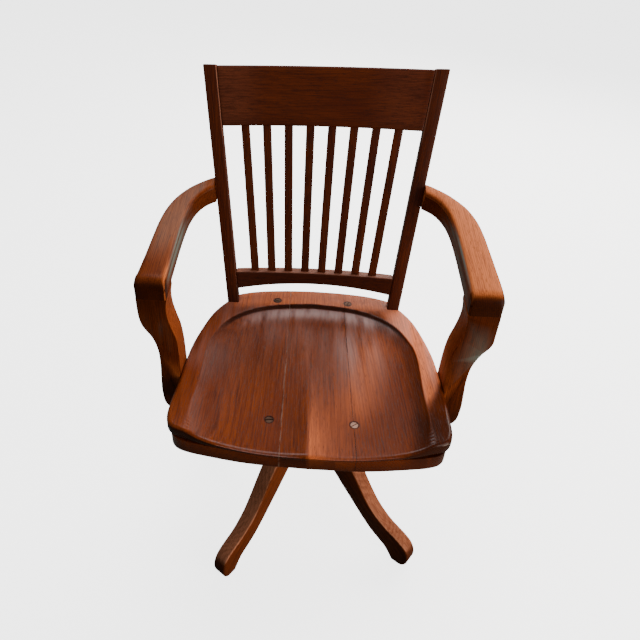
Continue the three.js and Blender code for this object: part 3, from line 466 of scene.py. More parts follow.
@dataclass(frozen=True)
class OakFinish:
    """Stained and varnished oak.

    Attributes:
        name: The finish's name.
        body: The main stain.
        warm: The stain where it is thin.
        deep: The late wood and the shaded stain.
        worn_and_lit: The colour where hands and clothes have rubbed, also painted on as light where
            faces turn to the light.
        pore: The colour inside the open pores.
        rough: The varnish's roughness.
        shine: How strongly the varnish mirrors the room, where 0.5 is that of plain varnish.
        ring_share: How strongly the years' growth shows.
        painted_sheen: The colour of a painted sheen that stands for the room's reflection in the
            varnish.
        fibre_share: How strongly the fine fibres show.
        dash_share: How strongly the longer dashes show.
        shade_limit: The most that the grain may shade the stain.
        pore_share: How strongly the open pores show.
        dark_share: How far a dark place goes to the pores' colour.
        rubbed_and_lit_fade: The share of the grain's shade that is lost where the wood is rubbed
            and where light is painted on.
        rubbed_and_lit_rough: The roughness added where the wood is rubbed and where light is
            painted on.
        relief: The depth of the grain's relief in metres.
    """

    name: str
    body: Colour
    warm: Colour
    deep: Colour
    worn_and_lit: Colour
    pore: Colour
    rough: float = 0.38
    shine: float = 0.5
    ring_share: float = 0.34
    painted_sheen: Colour = srgb(204, 160, 150)
    fibre_share: float = 0.42
    dash_share: float = 0.3
    shade_limit: float = 0.8
    pore_share: float = 0.55
    dark_share: float = 0.85
    rubbed_and_lit_fade: float = 0.4
    rubbed_and_lit_rough: float = 0.24
    relief: float = 0.0001

    def on(self, piece: str, board: Board) -> bpy.types.Material:
        """Makes this finish for one piece of wood.

        Args:
            piece: The piece's name, which also picks where in the tree it was sawn.
            board: How the piece was sawn.

        Returns:
            The material.
        """
        bench = Bench(f"{self.name}_{piece}")
        spot = bench.node("ShaderNodeTexCoord").outputs["Object"]
        shift = (sum(ord(c) * (k + 3) for k, c in enumerate(piece)) % 97) / 97
        grain = bench.moved(spot, (1, 1, 1), (shift * 3, 0, 0), board.turn())
        late = self.years(bench, grain, board)
        fibre, dash, cloud, painted_sheen_mask = (
            figure.drawn(bench, grain).outputs[0] for figure in (FIBRE, DASH, CLOUD, PAINTED_SHEEN_PATCHES))
        pores = self.pores(bench, grain, late)
        # The points carry three marks: wear with painted light on lit faces, dark marks with
        # painted shade, and a painted sheen that stands for the room's reflection.
        worn_and_lit = bench.times(bench.attribute("worn_and_lit"), bench.plus(fibre, 0.5), clamp=True)
        dark = bench.times(bench.attribute("dark"), bench.plus(cloud, 0.5), clamp=True)
        painted_sheen_amount = bench.times(bench.attribute("painted_sheen"), bench.ramp(painted_sheen_mask, 0.3, 0.62), clamp=True)
        shade = bench.times(late, self.ring_share)
        shade = bench.plus(shade, bench.times(bench.ramp(fibre, 0.45, 0.62), self.fibre_share))
        shade = bench.plus(shade, bench.times(bench.ramp(dash, 0.5, 0.64), self.dash_share))
        shade = bench.times(shade, bench.rest(bench.times(worn_and_lit, self.rubbed_and_lit_fade)))
        shade = bench.math("MINIMUM", shade, self.shade_limit)
        colour = bench.mixed(bench.ramp(cloud, 0.36, 0.66), self.body, self.warm)
        colour = bench.mixed(worn_and_lit, colour, self.worn_and_lit)
        colour = bench.mixed(shade, colour, bench.mixed(worn_and_lit, self.deep, self.body))
        colour = bench.mixed(bench.times(pores, self.pore_share), colour, self.pore)
        colour = bench.mixed(bench.times(dark, self.dark_share), colour, self.pore)
        colour = bench.mixed(painted_sheen_amount, colour, self.painted_sheen)
        bench.feed(bench.surface.inputs["Base Color"], self.marked(bench, spot, colour, board))
        gloss = bench.plus(self.rough - 0.07, bench.times(fibre, 0.14))
        gloss = bench.plus(gloss, bench.times(worn_and_lit, self.rubbed_and_lit_rough))
        gloss = bench.plus(gloss, bench.times(pores, 0.2))
        bench.feed(bench.surface.inputs["Roughness"], gloss)
        bench.surface.inputs["Specular IOR Level"].default_value = self.shine
        grooves = bench.less(bench.times(fibre, 0.5), bench.times(pores, 0.8))
        bench.bump(grooves, self.relief, 0.7)
        return bench.material

    def marked(
        self, bench: Bench, spot: Socket, colour: Socket, board: Board
    ) -> Socket:
        """Draws the glue lines and the painted shadow rings about the bolts' countersinks.

        Args:
            bench: The material's bench.
            spot: The piece's own coordinates.
            colour: The wood's colour.
            board: How the piece was sawn.

        Returns:
            The marked colour.
        """
        across = bench.node("ShaderNodeSeparateXYZ")
        bench.feed(across.inputs[0], spot)
        for seam, slant, dusty in board.seams:
            width, gaps = (1.6, (0.42, 0.62)) if dusty else (0.9, (0.36, 0.5))
            drift = bench.times(bench.less(across.outputs[1], place(0, 0, 0).y), slant)
            off = bench.less(bench.less(across.outputs[0], seam * MM), drift)
            fleck = bench.noise(bench.moved(spot, FLECK_STRETCH), detail=3, rough=0.7).outputs[0]
            line = bench.rest(bench.ramp(bench.math("ABSOLUTE", off), 0.5 * MM, width * MM))
            line = bench.times(bench.times(line, bench.ramp(fleck, *gaps)), 0.7)
            colour = bench.mixed(line, colour, SEAM_DUST if dusty else self.pore)
        # Painted shadow of each bolt's countersink: a dark ring about the bolt.
        for stain in board.countersink_shadows:
            away = bench.vector("DISTANCE", spot, stain).outputs["Value"]
            ring = bench.rest(bench.ramp(away, 7.8 * MM, 10.5 * MM))
            colour = bench.mixed(bench.times(ring, self.dark_share), colour, self.pore)
        return colour

    def years(self, bench: Bench, grain: Socket, board: Board) -> Socket:
        """Draws the years' growth: rings about the tree's centre that wander along the board.

        Args:
            bench: The material's bench.
            grain: Coordinates with the fibres along X.
            board: How the piece was sawn.

        Returns:
            A number that rises to 1 in the dense late wood.
        """
        sway = SWAY.drawn(bench, grain).outputs["Color"]
        sway = bench.vector("SCALE", bench.vector("SUBTRACT", sway, (0.5, 0.5, 0.5)).outputs[0])
        sway.inputs["Scale"].default_value = 0.016
        swayed = bench.vector("ADD", grain, sway.outputs[0]).outputs[0]
        centred = bench.moved(swayed, (0.05, 1, 1), (0, -board.pith[0] * MM, -board.pith[1] * MM))
        length = bench.vector("LENGTH", centred).outputs["Value"]
        year = bench.math("FRACT", bench.times(length, 1 / (board.ring * MM)))
        rise = bench.ramp(year, 0.15, 0.85)
        return bench.times(rise, bench.rest(bench.ramp(year, 0.9, 1.0)))

    def pores(
        self, bench: Bench, grain: Socket, late: Socket
    ) -> Socket:
        """Draws the open pores as short dark streaks, most of them in the early wood.

        Args:
            bench: The material's bench.
            grain: The board's coordinates.
            late: The share of late wood.

        Returns:
            How deep the pore is, from 0 to 1.
        """
        streak = STREAK.drawn(bench, grain).outputs[0]
        early = bench.rest(bench.times(late, 0.7))
        return bench.times(bench.ramp(streak, 0.56, 0.66), early)


@dataclass(frozen=True)
class Thread:
    """A screw thread about an upright axis.

    Attributes:
        behind: How far its axis lies behind the swivel axis, in millimetres.
        low: Where the thread begins, in millimetres.
        high: Where it ends.
        pitch: The rise of one turn.
        depth: The depth of its groove.
    """

    behind: float
    low: float
    high: float
    pitch: float
    depth: float

    def cut(self, bench: Bench, spot: Socket) -> Socket:
        """Gives the thread's height, from 0 in its groove to 1 on its crest.

        Args:
            bench: The material's bench.
            spot: The piece's own coordinates.

        Returns:
            The height.
        """
        parts = bench.node("ShaderNodeSeparateXYZ")
        shift = (0, -(AXIS_Y + self.behind) * MM, 0)
        bench.feed(parts.inputs[0], bench.moved(spot, (1, 1, 1), shift))
        angle = bench.math("ARCTAN2", parts.outputs[1], parts.outputs[0])
        turns = bench.times(parts.outputs[2], 1 / (self.pitch * MM))
        phase = bench.math("FRACT", bench.less(turns, bench.times(angle, 0.5 / math.pi)))
        ridge = bench.ramp(bench.math("ABSOLUTE", bench.less(phase, 0.5)), 0.08, 0.4)
        below = bench.math("LESS_THAN", parts.outputs[2], self.low * MM)
        above = bench.math("GREATER_THAN", parts.outputs[2], self.high * MM)
        return bench.math("MAXIMUM", ridge, bench.plus(below, above, clamp=True))


@dataclass(frozen=True)
class IronFinish:
    """Cast iron or drawn steel that has stood under a seat for years.

    Attributes:
        name: The finish's name.
        base: The metal's colour.
        stain: The colour of its rust and old oil.
        rough: Its roughness.
        grit: The depth of its skin's relief in metres.
        rust: How far the stain spreads, from 0 to 1.
    """

    name: str
    base: Colour
    stain: Colour
    rough: float
    grit: float
    rust: float = 0.4

    def on(self, piece: str, thread: Thread | None = None) -> bpy.types.Material:
        """Makes this finish for one piece of metal, with a screw thread cut in it or none.

        Args:
            piece: The piece's name.
            thread: Its thread, if it has one.

        Returns:
            The material.
        """
        bench = Bench(f"{self.name}_{piece}")
        spot = bench.node("ShaderNodeTexCoord").outputs["Object"]
        skin = bench.noise(spot, scale=900, detail=3).outputs[0]
        patch = bench.noise(spot, scale=55, detail=4, rough=0.65).outputs[0]
        stained = bench.times(bench.ramp(patch, 0.45, 0.72), self.rust)
        colour = bench.mixed(stained, self.base, self.stain)
        colour = bench.mixed(bench.times(skin, 0.25), colour, self.stain)
        bench.feed(bench.surface.inputs["Base Color"], colour)
        bench.surface.inputs["Metallic"].default_value = 0.85
        rough = bench.plus(self.rough, bench.times(stained, 0.35))
        bench.feed(bench.surface.inputs["Roughness"], rough)
        if thread is None:
            bench.bump(skin, self.grit)
        else:
            height = bench.plus(thread.cut(bench, spot), bench.times(skin, 0.05))
            bench.bump(height, thread.depth * MM)
        return bench.material


SEAT_OAK = OakFinish(
    "seat_oak", body=srgb(119, 48, 12), warm=srgb(139, 60, 16), deep=srgb(74, 25, 7),
    worn_and_lit=srgb(236, 118, 58), pore=srgb(36, 12, 4), rough=0.25, shine=0.17, ring_share=0.26)
BACK_OAK = OakFinish(
    "dark_oak", body=srgb(92, 36, 15), warm=srgb(108, 46, 18), deep=srgb(60, 22, 9),
    worn_and_lit=srgb(190, 124, 96), pore=srgb(26, 9, 4), rough=0.36, shine=0.15)
# The arm oak's painted sheen is grey-green, a painted reflection of the floor.
ARM_OAK = OakFinish(
    "arm_oak", body=srgb(130, 56, 20), warm=srgb(156, 74, 26), deep=srgb(84, 31, 11),
    worn_and_lit=srgb(236, 128, 68), pore=srgb(34, 11, 5), rough=0.34, shine=0.07, painted_sheen=srgb(128, 146, 138))
LEG_OAK = OakFinish(
    "leg_oak", body=srgb(124, 56, 22), warm=srgb(144, 68, 26), deep=srgb(76, 31, 12),
    worn_and_lit=srgb(214, 140, 106), pore=srgb(28, 11, 5), rough=0.42, shine=0.1)
CAST_IRON = IronFinish("cast_iron", srgb(52, 50, 48), srgb(58, 36, 24), 0.5, 0.00012, 0.5)
BAR_STEEL = IronFinish("bar_steel", srgb(118, 114, 108), srgb(78, 54, 38), 0.34, 0.00004, 0.45)
SCREW_STEEL = IronFinish("screw_steel", srgb(160, 122, 104), srgb(58, 34, 24), 0.36, 0.00004, 0.5)
DULL_SCREW = IronFinish("dull_screw", srgb(84, 58, 44), srgb(40, 22, 14), 0.45, 0.00004, 0.7)


def plain(co: Vector, normal: Vector) -> Marks:
    """Leaves a piece without wear, painted light, dark marks, painted shade or painted sheen."""
    return 0.0, 0.0


def between(normal: Vector, first: Vector, second: Vector) -> float:
    """Gives how much a point lies on the rounded arris between two faces, from 0 to 1."""
    return smooth_step(0.2, 0.6, min(normal.dot(first), normal.dot(second)))


def meshed(name: str, shape: Shape) -> bpy.types.Mesh:
    """Turns a shape into a mesh and uses the shape up.

    Args:
        name: The mesh's name.
        shape: The shape.

    Returns:
        The mesh.
    """
    mesh = bpy.data.meshes.new(name)
    shape.to_mesh(mesh)
    shape.free()
    return mesh


def shown(name: str, data: bpy.types.ID) -> Piece:
    """Puts an object with the given mesh, light or camera into the scene.

    Args:
        name: The object's name.
        data: The mesh, light or camera.

    Returns:
        The object.
    """
    thing = bpy.data.objects.new(name, data)
    bpy.context.scene.collection.objects.link(thing)
    return thing


def finished(
    name: str,
    shape: Shape,
    material: bpy.types.Material,
    slot: Slot,
    body: Body,
    tint: Tint = plain,
    sharp: float = 32.0,
) -> Piece:
    """Turns a shape into a piece of the chair that stands for the CAD node of the same name.

    Args:
        name: The piece's and the node's name.
        shape: Its shape in the chair's frame, in metres; it is used up.
        material: Its finish.
        slot: The material slot of the record; not used.
        body: The body that it moves with.
        tint: Gives how worn and painted lit, how dark and painted shaded and, if need be, how much
            painted sheen a point with a normal has.
        sharp: The least angle in degrees between faces that meet in a crisp edge.

    Returns:
        The piece.
    """
    bmesh.ops.recalc_face_normals(shape, faces=shape.faces)
    mesh = meshed(name, shape)
    marks = [mesh.attributes.new(mark, "FLOAT", "POINT") for mark in ("worn_and_lit", "dark", "painted_sheen")]
    for index, vertex in enumerate(mesh.vertices):
        for mark, value in zip(marks, tint(vertex.co, vertex.normal)):
            mark.data[index].value = value
    mesh.shade_smooth()
    mesh.set_sharp_from_angle(angle=math.radians(sharp))
    mesh.materials.append(material)
    piece = shown(name, mesh)
    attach(piece, body.value)
    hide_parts(name)
    LOG.info("%s: %d faces, rides on %s", name, len(mesh.polygons), body.value)
    return piece


def prism(outline: Outline, low: float, high: float) -> Shape:
    """Extrudes a closed outline along Z.

    Args:
        outline: Its points in the plane.
        low: The height of its foot.
        high: The height of its top.

    Returns:
        The shape, with its faces outwards.
    """
    shape = bmesh.new()
    face = shape.faces.new([shape.verts.new((p.x, p.y, low)) for p in outline])
    grown = bmesh.ops.extrude_face_region(shape, geom=[face])["geom"]
    top = [item for item in grown if isinstance(item, Vert)]
    bmesh.ops.translate(shape, verts=top, vec=(0, 0, high - low))
    bmesh.ops.recalc_face_normals(shape, faces=shape.faces)
    return shape


def eased(shape: Shape, radius: float, steps: int, chosen: Callable[[Edge], bool]) -> None:
    """Rounds the chosen edges of a shape.

    Args:
        shape: The shape.
        radius: The rounding in metres.
        steps: How many faces go round each edge.
        chosen: Says which edges are rounded.
    """
    edges = [edge for edge in shape.edges if chosen(edge)]
    bmesh.ops.bevel(
        shape, geom=edges, offset=radius, offset_type="OFFSET", affect="EDGES", segments=steps,
        profile=0.5, material=-1, clamp_overlap=True)


def crisp(edge: Edge, least: float = 50.0) -> bool:
    """Says whether two faces meet at an edge in more than the least angle in degrees."""
    return len(edge.link_faces) == 2 and edge.calc_face_angle(0.0) > math.radians(least)


def moved(shape: Shape, where: Callable[[Vector], Vector]) -> Shape:
    """Moves every point of a shape to where a rule puts it, and turns its faces outwards.

    Args:
        shape: The shape.
        where: Gives a point's new place.

    Returns:
        The same shape.
    """
    for vertex in shape.verts:
        vertex.co = where(vertex.co)
    shape.normal_update()
    bmesh.ops.recalc_face_normals(shape, faces=shape.faces)
    return shape


def bar(steps: tuple[int, int, int]) -> Shape:
    """Makes a unit block about the origin with its sides cut into the given numbers of steps.

    Args:
        steps: How many steps each axis is cut into.

    Returns:
        The shape.
    """
    shape = bmesh.new()
    bmesh.ops.create_cube(shape, size=1.0)
    for axis, count in enumerate(steps):
        if count < 2:
            continue
        edges = [e for e in shape.edges if abs((e.verts[0].co - e.verts[1].co)[axis]) > 0.4]
        bmesh.ops.subdivide_edges(shape, edges=edges, cuts=count - 1, use_grid_fill=True)
    return shape


def turned(profile: list[Pair], steps: int = 64) -> Shape:
    """Spins a profile of (radius, height) points about Z, in millimetres.

    Args:
        profile: Points that start and end on the axis, or come back to their start round a bore.
        steps: How many steps go round.

    Returns:
        The shape in metres.
    """
    shape = bmesh.new()
    bored = profile[0] == profile[-1]
    points = profile[:-1] if bored else profile
    verts = [shape.verts.new((r * MM, 0, z * MM)) for r, z in points]
    pairs = list(zip(verts, verts[1:])) + ([(verts[-1], verts[0])] if bored else [])
    edges = [shape.edges.new(pair) for pair in pairs]
    bmesh.ops.spin(
        shape, geom=[*verts, *edges], cent=(0, 0, 0), axis=(0, 0, 1), angle=2 * math.pi,
        steps=steps, use_merge=True, use_duplicate=False)
    bmesh.ops.remove_doubles(shape, verts=shape.verts, dist=1e-6)
    bmesh.ops.recalc_face_normals(shape, faces=shape.faces)
    return shape


def copy_of(node: str) -> Shape:
    """Copies a CAD node's mesh, with its triangles joined up and flat ones merged.

    Args:
        node: The node's name.

    Returns:
        The copy, in the chair's frame.
    """
    shape = bmesh.new()
    shape.from_mesh(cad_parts[node].data)
    shape.transform(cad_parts[node].matrix_world)
    bmesh.ops.remove_doubles(shape, verts=shape.verts, dist=1e-6)
    bmesh.ops.dissolve_limit(
        shape, angle_limit=math.radians(1.0), verts=shape.verts, edges=shape.edges)
    return shape


def sawn_off(
    shape: Shape, point: Vector, normal: Vector | Triple
) -> list[Edge]:
    """Saws off what lies behind a plane, and gives the edges about the opening.

    Args:
        shape: The shape.
        point: A point of the plane.
        normal: The direction towards what is kept.

    Returns:
        The edges of the opening.
    """
    bmesh.ops.bisect_plane(
        shape, geom=[*shape.verts, *shape.edges, *shape.faces], plane_co=point, plane_no=normal,
        clear_inner=True)
    return [edge for edge in shape.edges if edge.is_boundary]


def carved(piece: Piece, cutters: list[Piece]) -> None:
    """Cuts tools out of a piece for good, and throws the tools away.

    Args:
        piece: The piece.
        cutters: The tools.
    """
    for cutter in cutters:
        cut = piece.modifiers.new("cut", "BOOLEAN")
        cut.operation = "DIFFERENCE"
        cut.solver = "EXACT"
        cut.object = cutter
    bpy.context.view_layer.update()
    evaluated = piece.evaluated_get(bpy.context.evaluated_depsgraph_get())
    mesh = bpy.data.meshes.new_from_object(evaluated)
    piece.modifiers.clear()
    piece.data = mesh
    for cutter in cutters:
        bpy.data.objects.remove(cutter)


def tool(shape: Shape) -> Piece:
    """Makes a cutting tool of a shape."""
    return shown("tool", meshed("tool", shape))


@dataclass
class Seat:
    """The saddled seat: three planks with a bullnose over a set-back step, and its four bolts."""

    rim: float = 438
    nose: float = 27
    step: float = 31
    nose_round: float = 8
    step_round: float = 4
    half_width: float = 247
    front_reach: float = 241
    rear_reach: float = 206.5
    glue_lines: Pair = (-48, 74.6)
    glue_slants: Pair = (0.0, -0.034)
    saddle_depth: float = 19
    saddle_half_width: float = 208
    saddle_rear: float = 157
    saddle_front: float = 300
    saddle_centre: float = -20
    saddle_lip: float = 1.1
    left_lip: float = 0.3
    rear_lip: float = 5
    left_swell: float = 0.018
    ridge_height: float = 5.5
    ridge_width: float = 30
    ridge_crest: float = 5
    rings: int = 120
    spokes: int = 300
    plank_gap: float = 0.15
    step_shade: float = 0.65
    edge_shares: Shares = field(default_factory=lambda: [
        (0, -1), (0.33, -0.984), (0.65, -0.932), (0.86, -0.872), (0.96, -0.828), (0.997, -0.74),
        (1, -0.6), (0.996, -0.42), (0.982, -0.17), (0.965, 0.019), (0.938, 0.193), (0.899, 0.377),
        (0.854, 0.542), (0.8, 0.667), (0.745, 0.763), (0.698, 0.843), (0.646, 0.892), (0.48, 0.952),
        (0.24, 0.988), (0, 1)])
    step_shares: Shares = field(default_factory=lambda: [
        (0, -0.965), (0.4, -0.952), (0.7, -0.912), (0.86, -0.88), (0.935, -0.84), (0.968, -0.765),
        (0.975, -0.6), (0.975, -0.42), (0.962, -0.17), (0.945, 0.019), (0.918, 0.193),
        (0.879, 0.377), (0.834, 0.536), (0.78, 0.657), (0.725, 0.749), (0.678, 0.821),
        (0.626, 0.868), (0.465, 0.926), (0.23, 0.96), (0, 0.972)])
    saddle_shares: Shares = field(default_factory=lambda: [
        (0, -1), (0.4, -0.985), (0.75, -0.92), (0.97, -0.77), (1.01, -0.52), (0.998, -0.3),
        (0.99, 0.04), (0.93, 0.345), (0.81, 0.62), (0.625, 0.815), (0.37, 0.94), (0, 1)])

    def __post_init__(self) -> None:
        """Draws the three outlines that the seat is shaped to."""
        rim = (self.half_width, self.front_reach, self.rear_reach)
        self.edge = self.outline(self.edge_shares, *rim)
        self.under = self.outline(self.step_shares, *rim)
        self.saddle = self.outline(
            self.saddle_shares, self.saddle_half_width, self.saddle_front, self.saddle_rear)

    def outline(self, shares: Shares, half: float, front: float, rear: float) -> list[Pair]:
        """Draws half an outline as (bearing, distance) pairs about the saddle's centre.

        Args:
            shares: Its points as shares of the three sizes.
            half: The half width.
            front: The reach to the front.
            rear: The reach to the back.

        Returns:
            The distances by bearing, from straight ahead to straight back.
        """
        line = spline([(x * half, y * (front if y < 0 else rear)) for x, y in shares], 240)
        polar = []
        for point in line:
            y = point.y - self.saddle_centre
            polar.append((math.atan2(abs(point.x), -y), math.hypot(point.x, y)))
        return sorted(polar)

    def reach(self, polar: list[Pair], bearing: float) -> float:
        """Looks up an outline's distance at a bearing from straight ahead.

        Args:
            polar: The outline as (bearing, distance) pairs.
            bearing: The bearing.

        Returns:
            The distance in millimetres.
        """
        bearing = abs(bearing)
        low, high = 0, len(polar) - 1
        while high - low > 1:
            middle = (low + high) // 2
            if polar[middle][0] <= bearing:
                low = middle
            else:
                high = middle
        (a, near), (b, far) = polar[low], polar[high]
        return lerp(near, far, min(max((bearing - a) / max(b - a, 1e-9), 0), 1))

    def saddled(self, x: float, y: float) -> Pair:
        """Gives a place's share of the way to the saddle's rim, and its bearing.

        Args:
            x: The place across the seat.
            y: The place along the seat.

        Returns:
            The share and the bearing.
        """
        ahead = y - self.saddle_centre
        bearing = math.atan2(abs(x), -ahead)
        return math.hypot(x, ahead) / self.reach(self.saddle, bearing), bearing

    def top(self, x: float, y: float) -> float:
        """Gives the height of the seat's top at a place measured from the swivel axis.

        Args:
            x: The place across the seat.
            y: The place along the seat.

        Returns:
            The height in millimetres.
        """
        share, bearing = self.saddled(x, y)
        if share >= 1:
            return self.rim
        rise = -math.cos(bearing)
        power = lerp(5, 7 if rise > 0 else 9, rise * rise)
        bowl = 1 - share**power
        forward = smooth_step(self.saddle_centre, self.front_reach, -y)
        off = math.hypot(x, self.ridge_crest) - self.ridge_crest
        ridge = self.ridge_height * math.exp(-off / self.ridge_width) * forward
        behind = rise * rise if rise > 0 else 0.0
        side = lerp(self.left_lip, self.saddle_lip, smooth_step(-170, -60, x))
        lip = lerp(side, self.rear_lip, behind)
        wall = 1 - smooth_step(lerp(0.985, 0.968, behind), 1.0, share)
        return self.rim - bowl * (self.saddle_depth - lip - ridge) - lip * wall

    def stations(self) -> list[Triple]:
        """Lists the slab's rings from the middle of the top, round the edge, to the foot's middle.

        Returns:
            For each ring its share of the way to the edge, its inset in millimetres and its height,
            where a height of zero means the saddled top, and a share above one the step's outline.
        """
        bold, fine = self.nose_round, self.step_round
        nose, foot = -self.nose, -self.nose - self.step
        upper, step = quarter(6), quarter(4)
        rows = [(sine**0.9, 0.0, 0.0) for sine, _ in quarter(self.rings)[:-1]]
        rows += [(1.0, bold * (1 - sine), -bold * (1 - cosine) - 1e-6) for sine, cosine in upper]
        rows += [(1.0, bold * (1 - cosine), nose + bold * (1 - sine)) for sine, cosine in upper]
        rows.append((2.0, 0.0, nose))
        rows += [(2.0, fine * (1 - cosine), foot + fine * (1 - sine)) for sine, cosine in step]
        rows += [(1.6, 0.0, foot), (0.0, 0.0, foot)]
        return rows

    def slab(self) -> Shape:
        """Spins the slab as a disc and draws it out to the seat's outline.

        Returns:
            The slab.
        """
        rows = self.stations()
        shape = bmesh.new()
        verts = [shape.verts.new((index, 0, 0)) for index in range(len(rows))]
        verts[-1].co = (0, 0, -1)
        edges = [shape.edges.new(pair) for pair in zip(verts, verts[1:])]
        bmesh.ops.spin(
            shape, geom=[*verts, *edges], cent=(0, 0, 0), axis=(0, 0, 1), angle=2 * math.pi,
            steps=self.spokes, use_merge=True, use_duplicate=False)
        bmesh.ops.remove_doubles(shape, verts=shape.verts, dist=1e-4)
        return moved(shape, lambda co: self.drawn(co, rows))

    def drawn(self, co: Vector, rows: list[Triple]) -> Vector:
        """Gives a disc point's place on the slab.

        Args:
            co: The disc's point, whose distance from the middle is its ring's number.
            rows: The rings.

        Returns:
            The place in the chair's frame.
        """
        index = len(rows) - 1 if co.z < -0.5 else round(math.hypot(co.x, co.y))
        share, inset, height = rows[index]
        bearing = math.atan2(co.x, -co.y)
        if share > 1:
            distance = self.reach(self.under, bearing) * (share - 1) - inset
        else:
            rounded = inset if height else self.nose_round
            distance = (self.reach(self.edge, bearing) - rounded) * share
        x = distance * math.sin(bearing)
        y = self.saddle_centre - distance * math.cos(bearing)
        level = self.lowered(x, y, height) if height else self.top(x, y)
        swell = 1 + self.left_swell * smooth_step(80, 170, -y) * smooth_step(0, 150, -x)
        return place(x * swell, y, level)

    def lowered(self, x: float, y: float, height: float) -> float:
        """Lets the nose's upper round follow the saddle where it runs out over the front edge.

        Args:
            x: The place across the seat.
            y: The place along the seat.
            height: The height before.

        Returns:
            The height in millimetres.
        """
        dip = self.rim - self.top(x, y)
        share = smooth_step(-self.nose + self.nose_round, 0, height)
        return self.rim + height - dip * share

    def tint(self, co: Vector, normal: Vector) -> Marks:
        """Marks a point of the planks with wear, with painted light and painted shade, and with a
        painted sheen.

        Args:
            co: The point.
            normal: The surface's direction there.

        Returns:
            How worn and painted lit, how dark and painted shaded, and how much painted sheen it
            has.
        """
        x, y, z = from_axis(co)
        if z < self.rim - self.nose:
            return 0.0, self.step_shade
        share, _ = self.saddled(x, y)
        margin = smooth_step(0.992, 1.012, share)
        saddle = 1 - margin
        forward = -y
        blur = lerp(14, 3, smooth_step(60, 200, forward))

        # Painted light: the right margin, turned to the light, gets the worn colour, held off where
        # the arm support's shadow falls; the rear margin is lighter between the posts; the rest of
        # the margin gets a little wear.
        right = 1.5 * smooth_step(120, 200, x) * smooth_step(-140, -80, y)
        rear = 0.62 * smooth_step(120, 160, y) * (1 - 0.5 * smooth_step(150, 190, abs(x)))
        arm_shadow = smooth_step(-7, 12, (x - 216) * 0.93 - (y + 106) * 0.36)
        arm_shadow *= smooth_step(40, 70, forward)
        # Painted light on the ridge's right flank, which faces the light.
        lit_ridge_flank = smooth_step(-blur, 1.3 * blur, x) * math.exp(-max(x - 4, 0) / 42)
        lit_ridge_flank *= smooth_step(50, 210, forward)
        # Painted sheen in a band over the right thigh hollow.
        thigh_sheen = bell(x - 0.22 * y, 112, 34) * smooth_step(-190, -90, y) * smooth_step(110, 20, y)
        worn_and_lit = margin * max(rear, right, 0.1) * (1 - arm_shadow)
        worn_and_lit += saddle * (0.75 * lit_ridge_flank + 0.4 * thigh_sheen)

        # Painted shade along the steep rear wall of the hollow, under the margin.
        rim_shade_line = 0.95 * smooth_step(0.958, 0.97, share) * smooth_step(1.004, 0.996, share)
        rim_shade_line *= smooth_step(40, 100, y)
        # Painted shade on the right wall of the hollow, which turns away from the light.
        crescent_shade = 0.5 * smooth_step(0.84, 0.93, share) * smooth_step(1.0, 0.99, share)
        crescent_shade *= smooth_step(90, 150, x)
        # Painted shade on the ridge's left flank, away from the light.
        shaded_ridge_side = 0.18 * smooth_step(-62, -40, x) * smooth_step(blur, -blur, x)
        shaded_ridge_side *= smooth_step(0, 120, forward)
        left_hip = 0.24 * bell(y, 10, 90) * smooth_step(20, -90, x) * saddle
        # Painted shadows of the posts on the rear margin.
        post_shadow = 0.5 * bell(abs(x), 150, 30) * smooth_step(90, 125, y)
        post_shadow *= smooth_step(1.1, 1.0, share)
        # Painted shadow of the arm support over the right front corner.
        corner = 0.36 * smooth_step(150, 205, x) * smooth_step(115, 165, forward)
        # Painted shade on the nose's front face, which turns away from the light.
        nose = lerp(1.1, 0.7, smooth_step(-220, -40, x)) * smooth_step(0.6, 0.15, normal.z)
        dark = shaded_ridge_side + left_hip + crescent_shade + rim_shade_line + corner + nose
        dark += margin * (post_shadow + 0.5 * arm_shadow)

        # Painted sheen: the room's reflection painted into the rear cove, over the hollow and along
        # the margins.
        cove_sheen = 0.55 * bell(share, 0.9, 0.07) * smooth_step(60, 110, y)
        cove_sheen *= 1 - 0.4 * smooth_step(20, 110, -x)
        right_sheen = 0.4 * bell(x, 95, 44) * bell(y, 55, 95)
        left_sheen = 0.15 * bell(x, -60, 60) * bell(y, 95, 45)
        right_edge_sheen = 0.26 * min(right, 1.0) * (1 - arm_shadow)
        left_edge_sheen = 0.12 * smooth_step(60, 140, -x) * smooth_step(-80, -20, y)
        painted_sheen = cove_sheen + saddle * (right_sheen + left_sheen) + margin * (right_edge_sheen + left_edge_sheen)
        return min(worn_and_lit, 1.6), min(dark, 1.0), painted_sheen * (1 - min(rim_shade_line, 1.0))

    def build(self) -> None:
        """Makes the three planks and bores them for the bolts."""
        planks = (
            ("seat_plank_left", 0.02, (310.0, -90.0)), ("seat_plank_middle", 0.0, (-240.0, -120.0)),
            ("seat_plank_right", -0.07, (420.0, -60.0)))
        edges = (-self.half_width - 20, *self.glue_lines, self.half_width + 20)
        for index, (name, lean, pith) in enumerate(planks):
            shape = self.slab()
            low, high = edges[index] + self.plank_gap, edges[index + 1] - self.plank_gap
            if index > 0:
                self.sawn(shape, low, self.glue_slants[index - 1], 1)
            if index < 2:
                self.sawn(shape, high, self.glue_slants[index], -1)
            near = slice(max(index - 1, 0), index + 1)
            seams = tuple(zip(self.glue_lines[near], self.glue_slants[near], (True, False)[near]))
            near_bolts = [bolt for bolt in BOLTS if low - 12 < bolt.x < high + 12]
            countersink_shadows = tuple(tuple(place(bolt.x, bolt.y, bolt.level(self))) for bolt in near_bolts)
            board = Board((lean, 1, 0), (0, 0, 1), pith, 3.6 + 0.3 * index, seams, countersink_shadows)
            piece = finished(
                name, shape, SEAT_OAK.on(name, board), Slot.SEAT, Body.SEAT, self.tint, sharp=38)
            carved(piece, [tool(bolt.hole(self)) for bolt in BOLTS if low - 8 < bolt.x < high + 8])

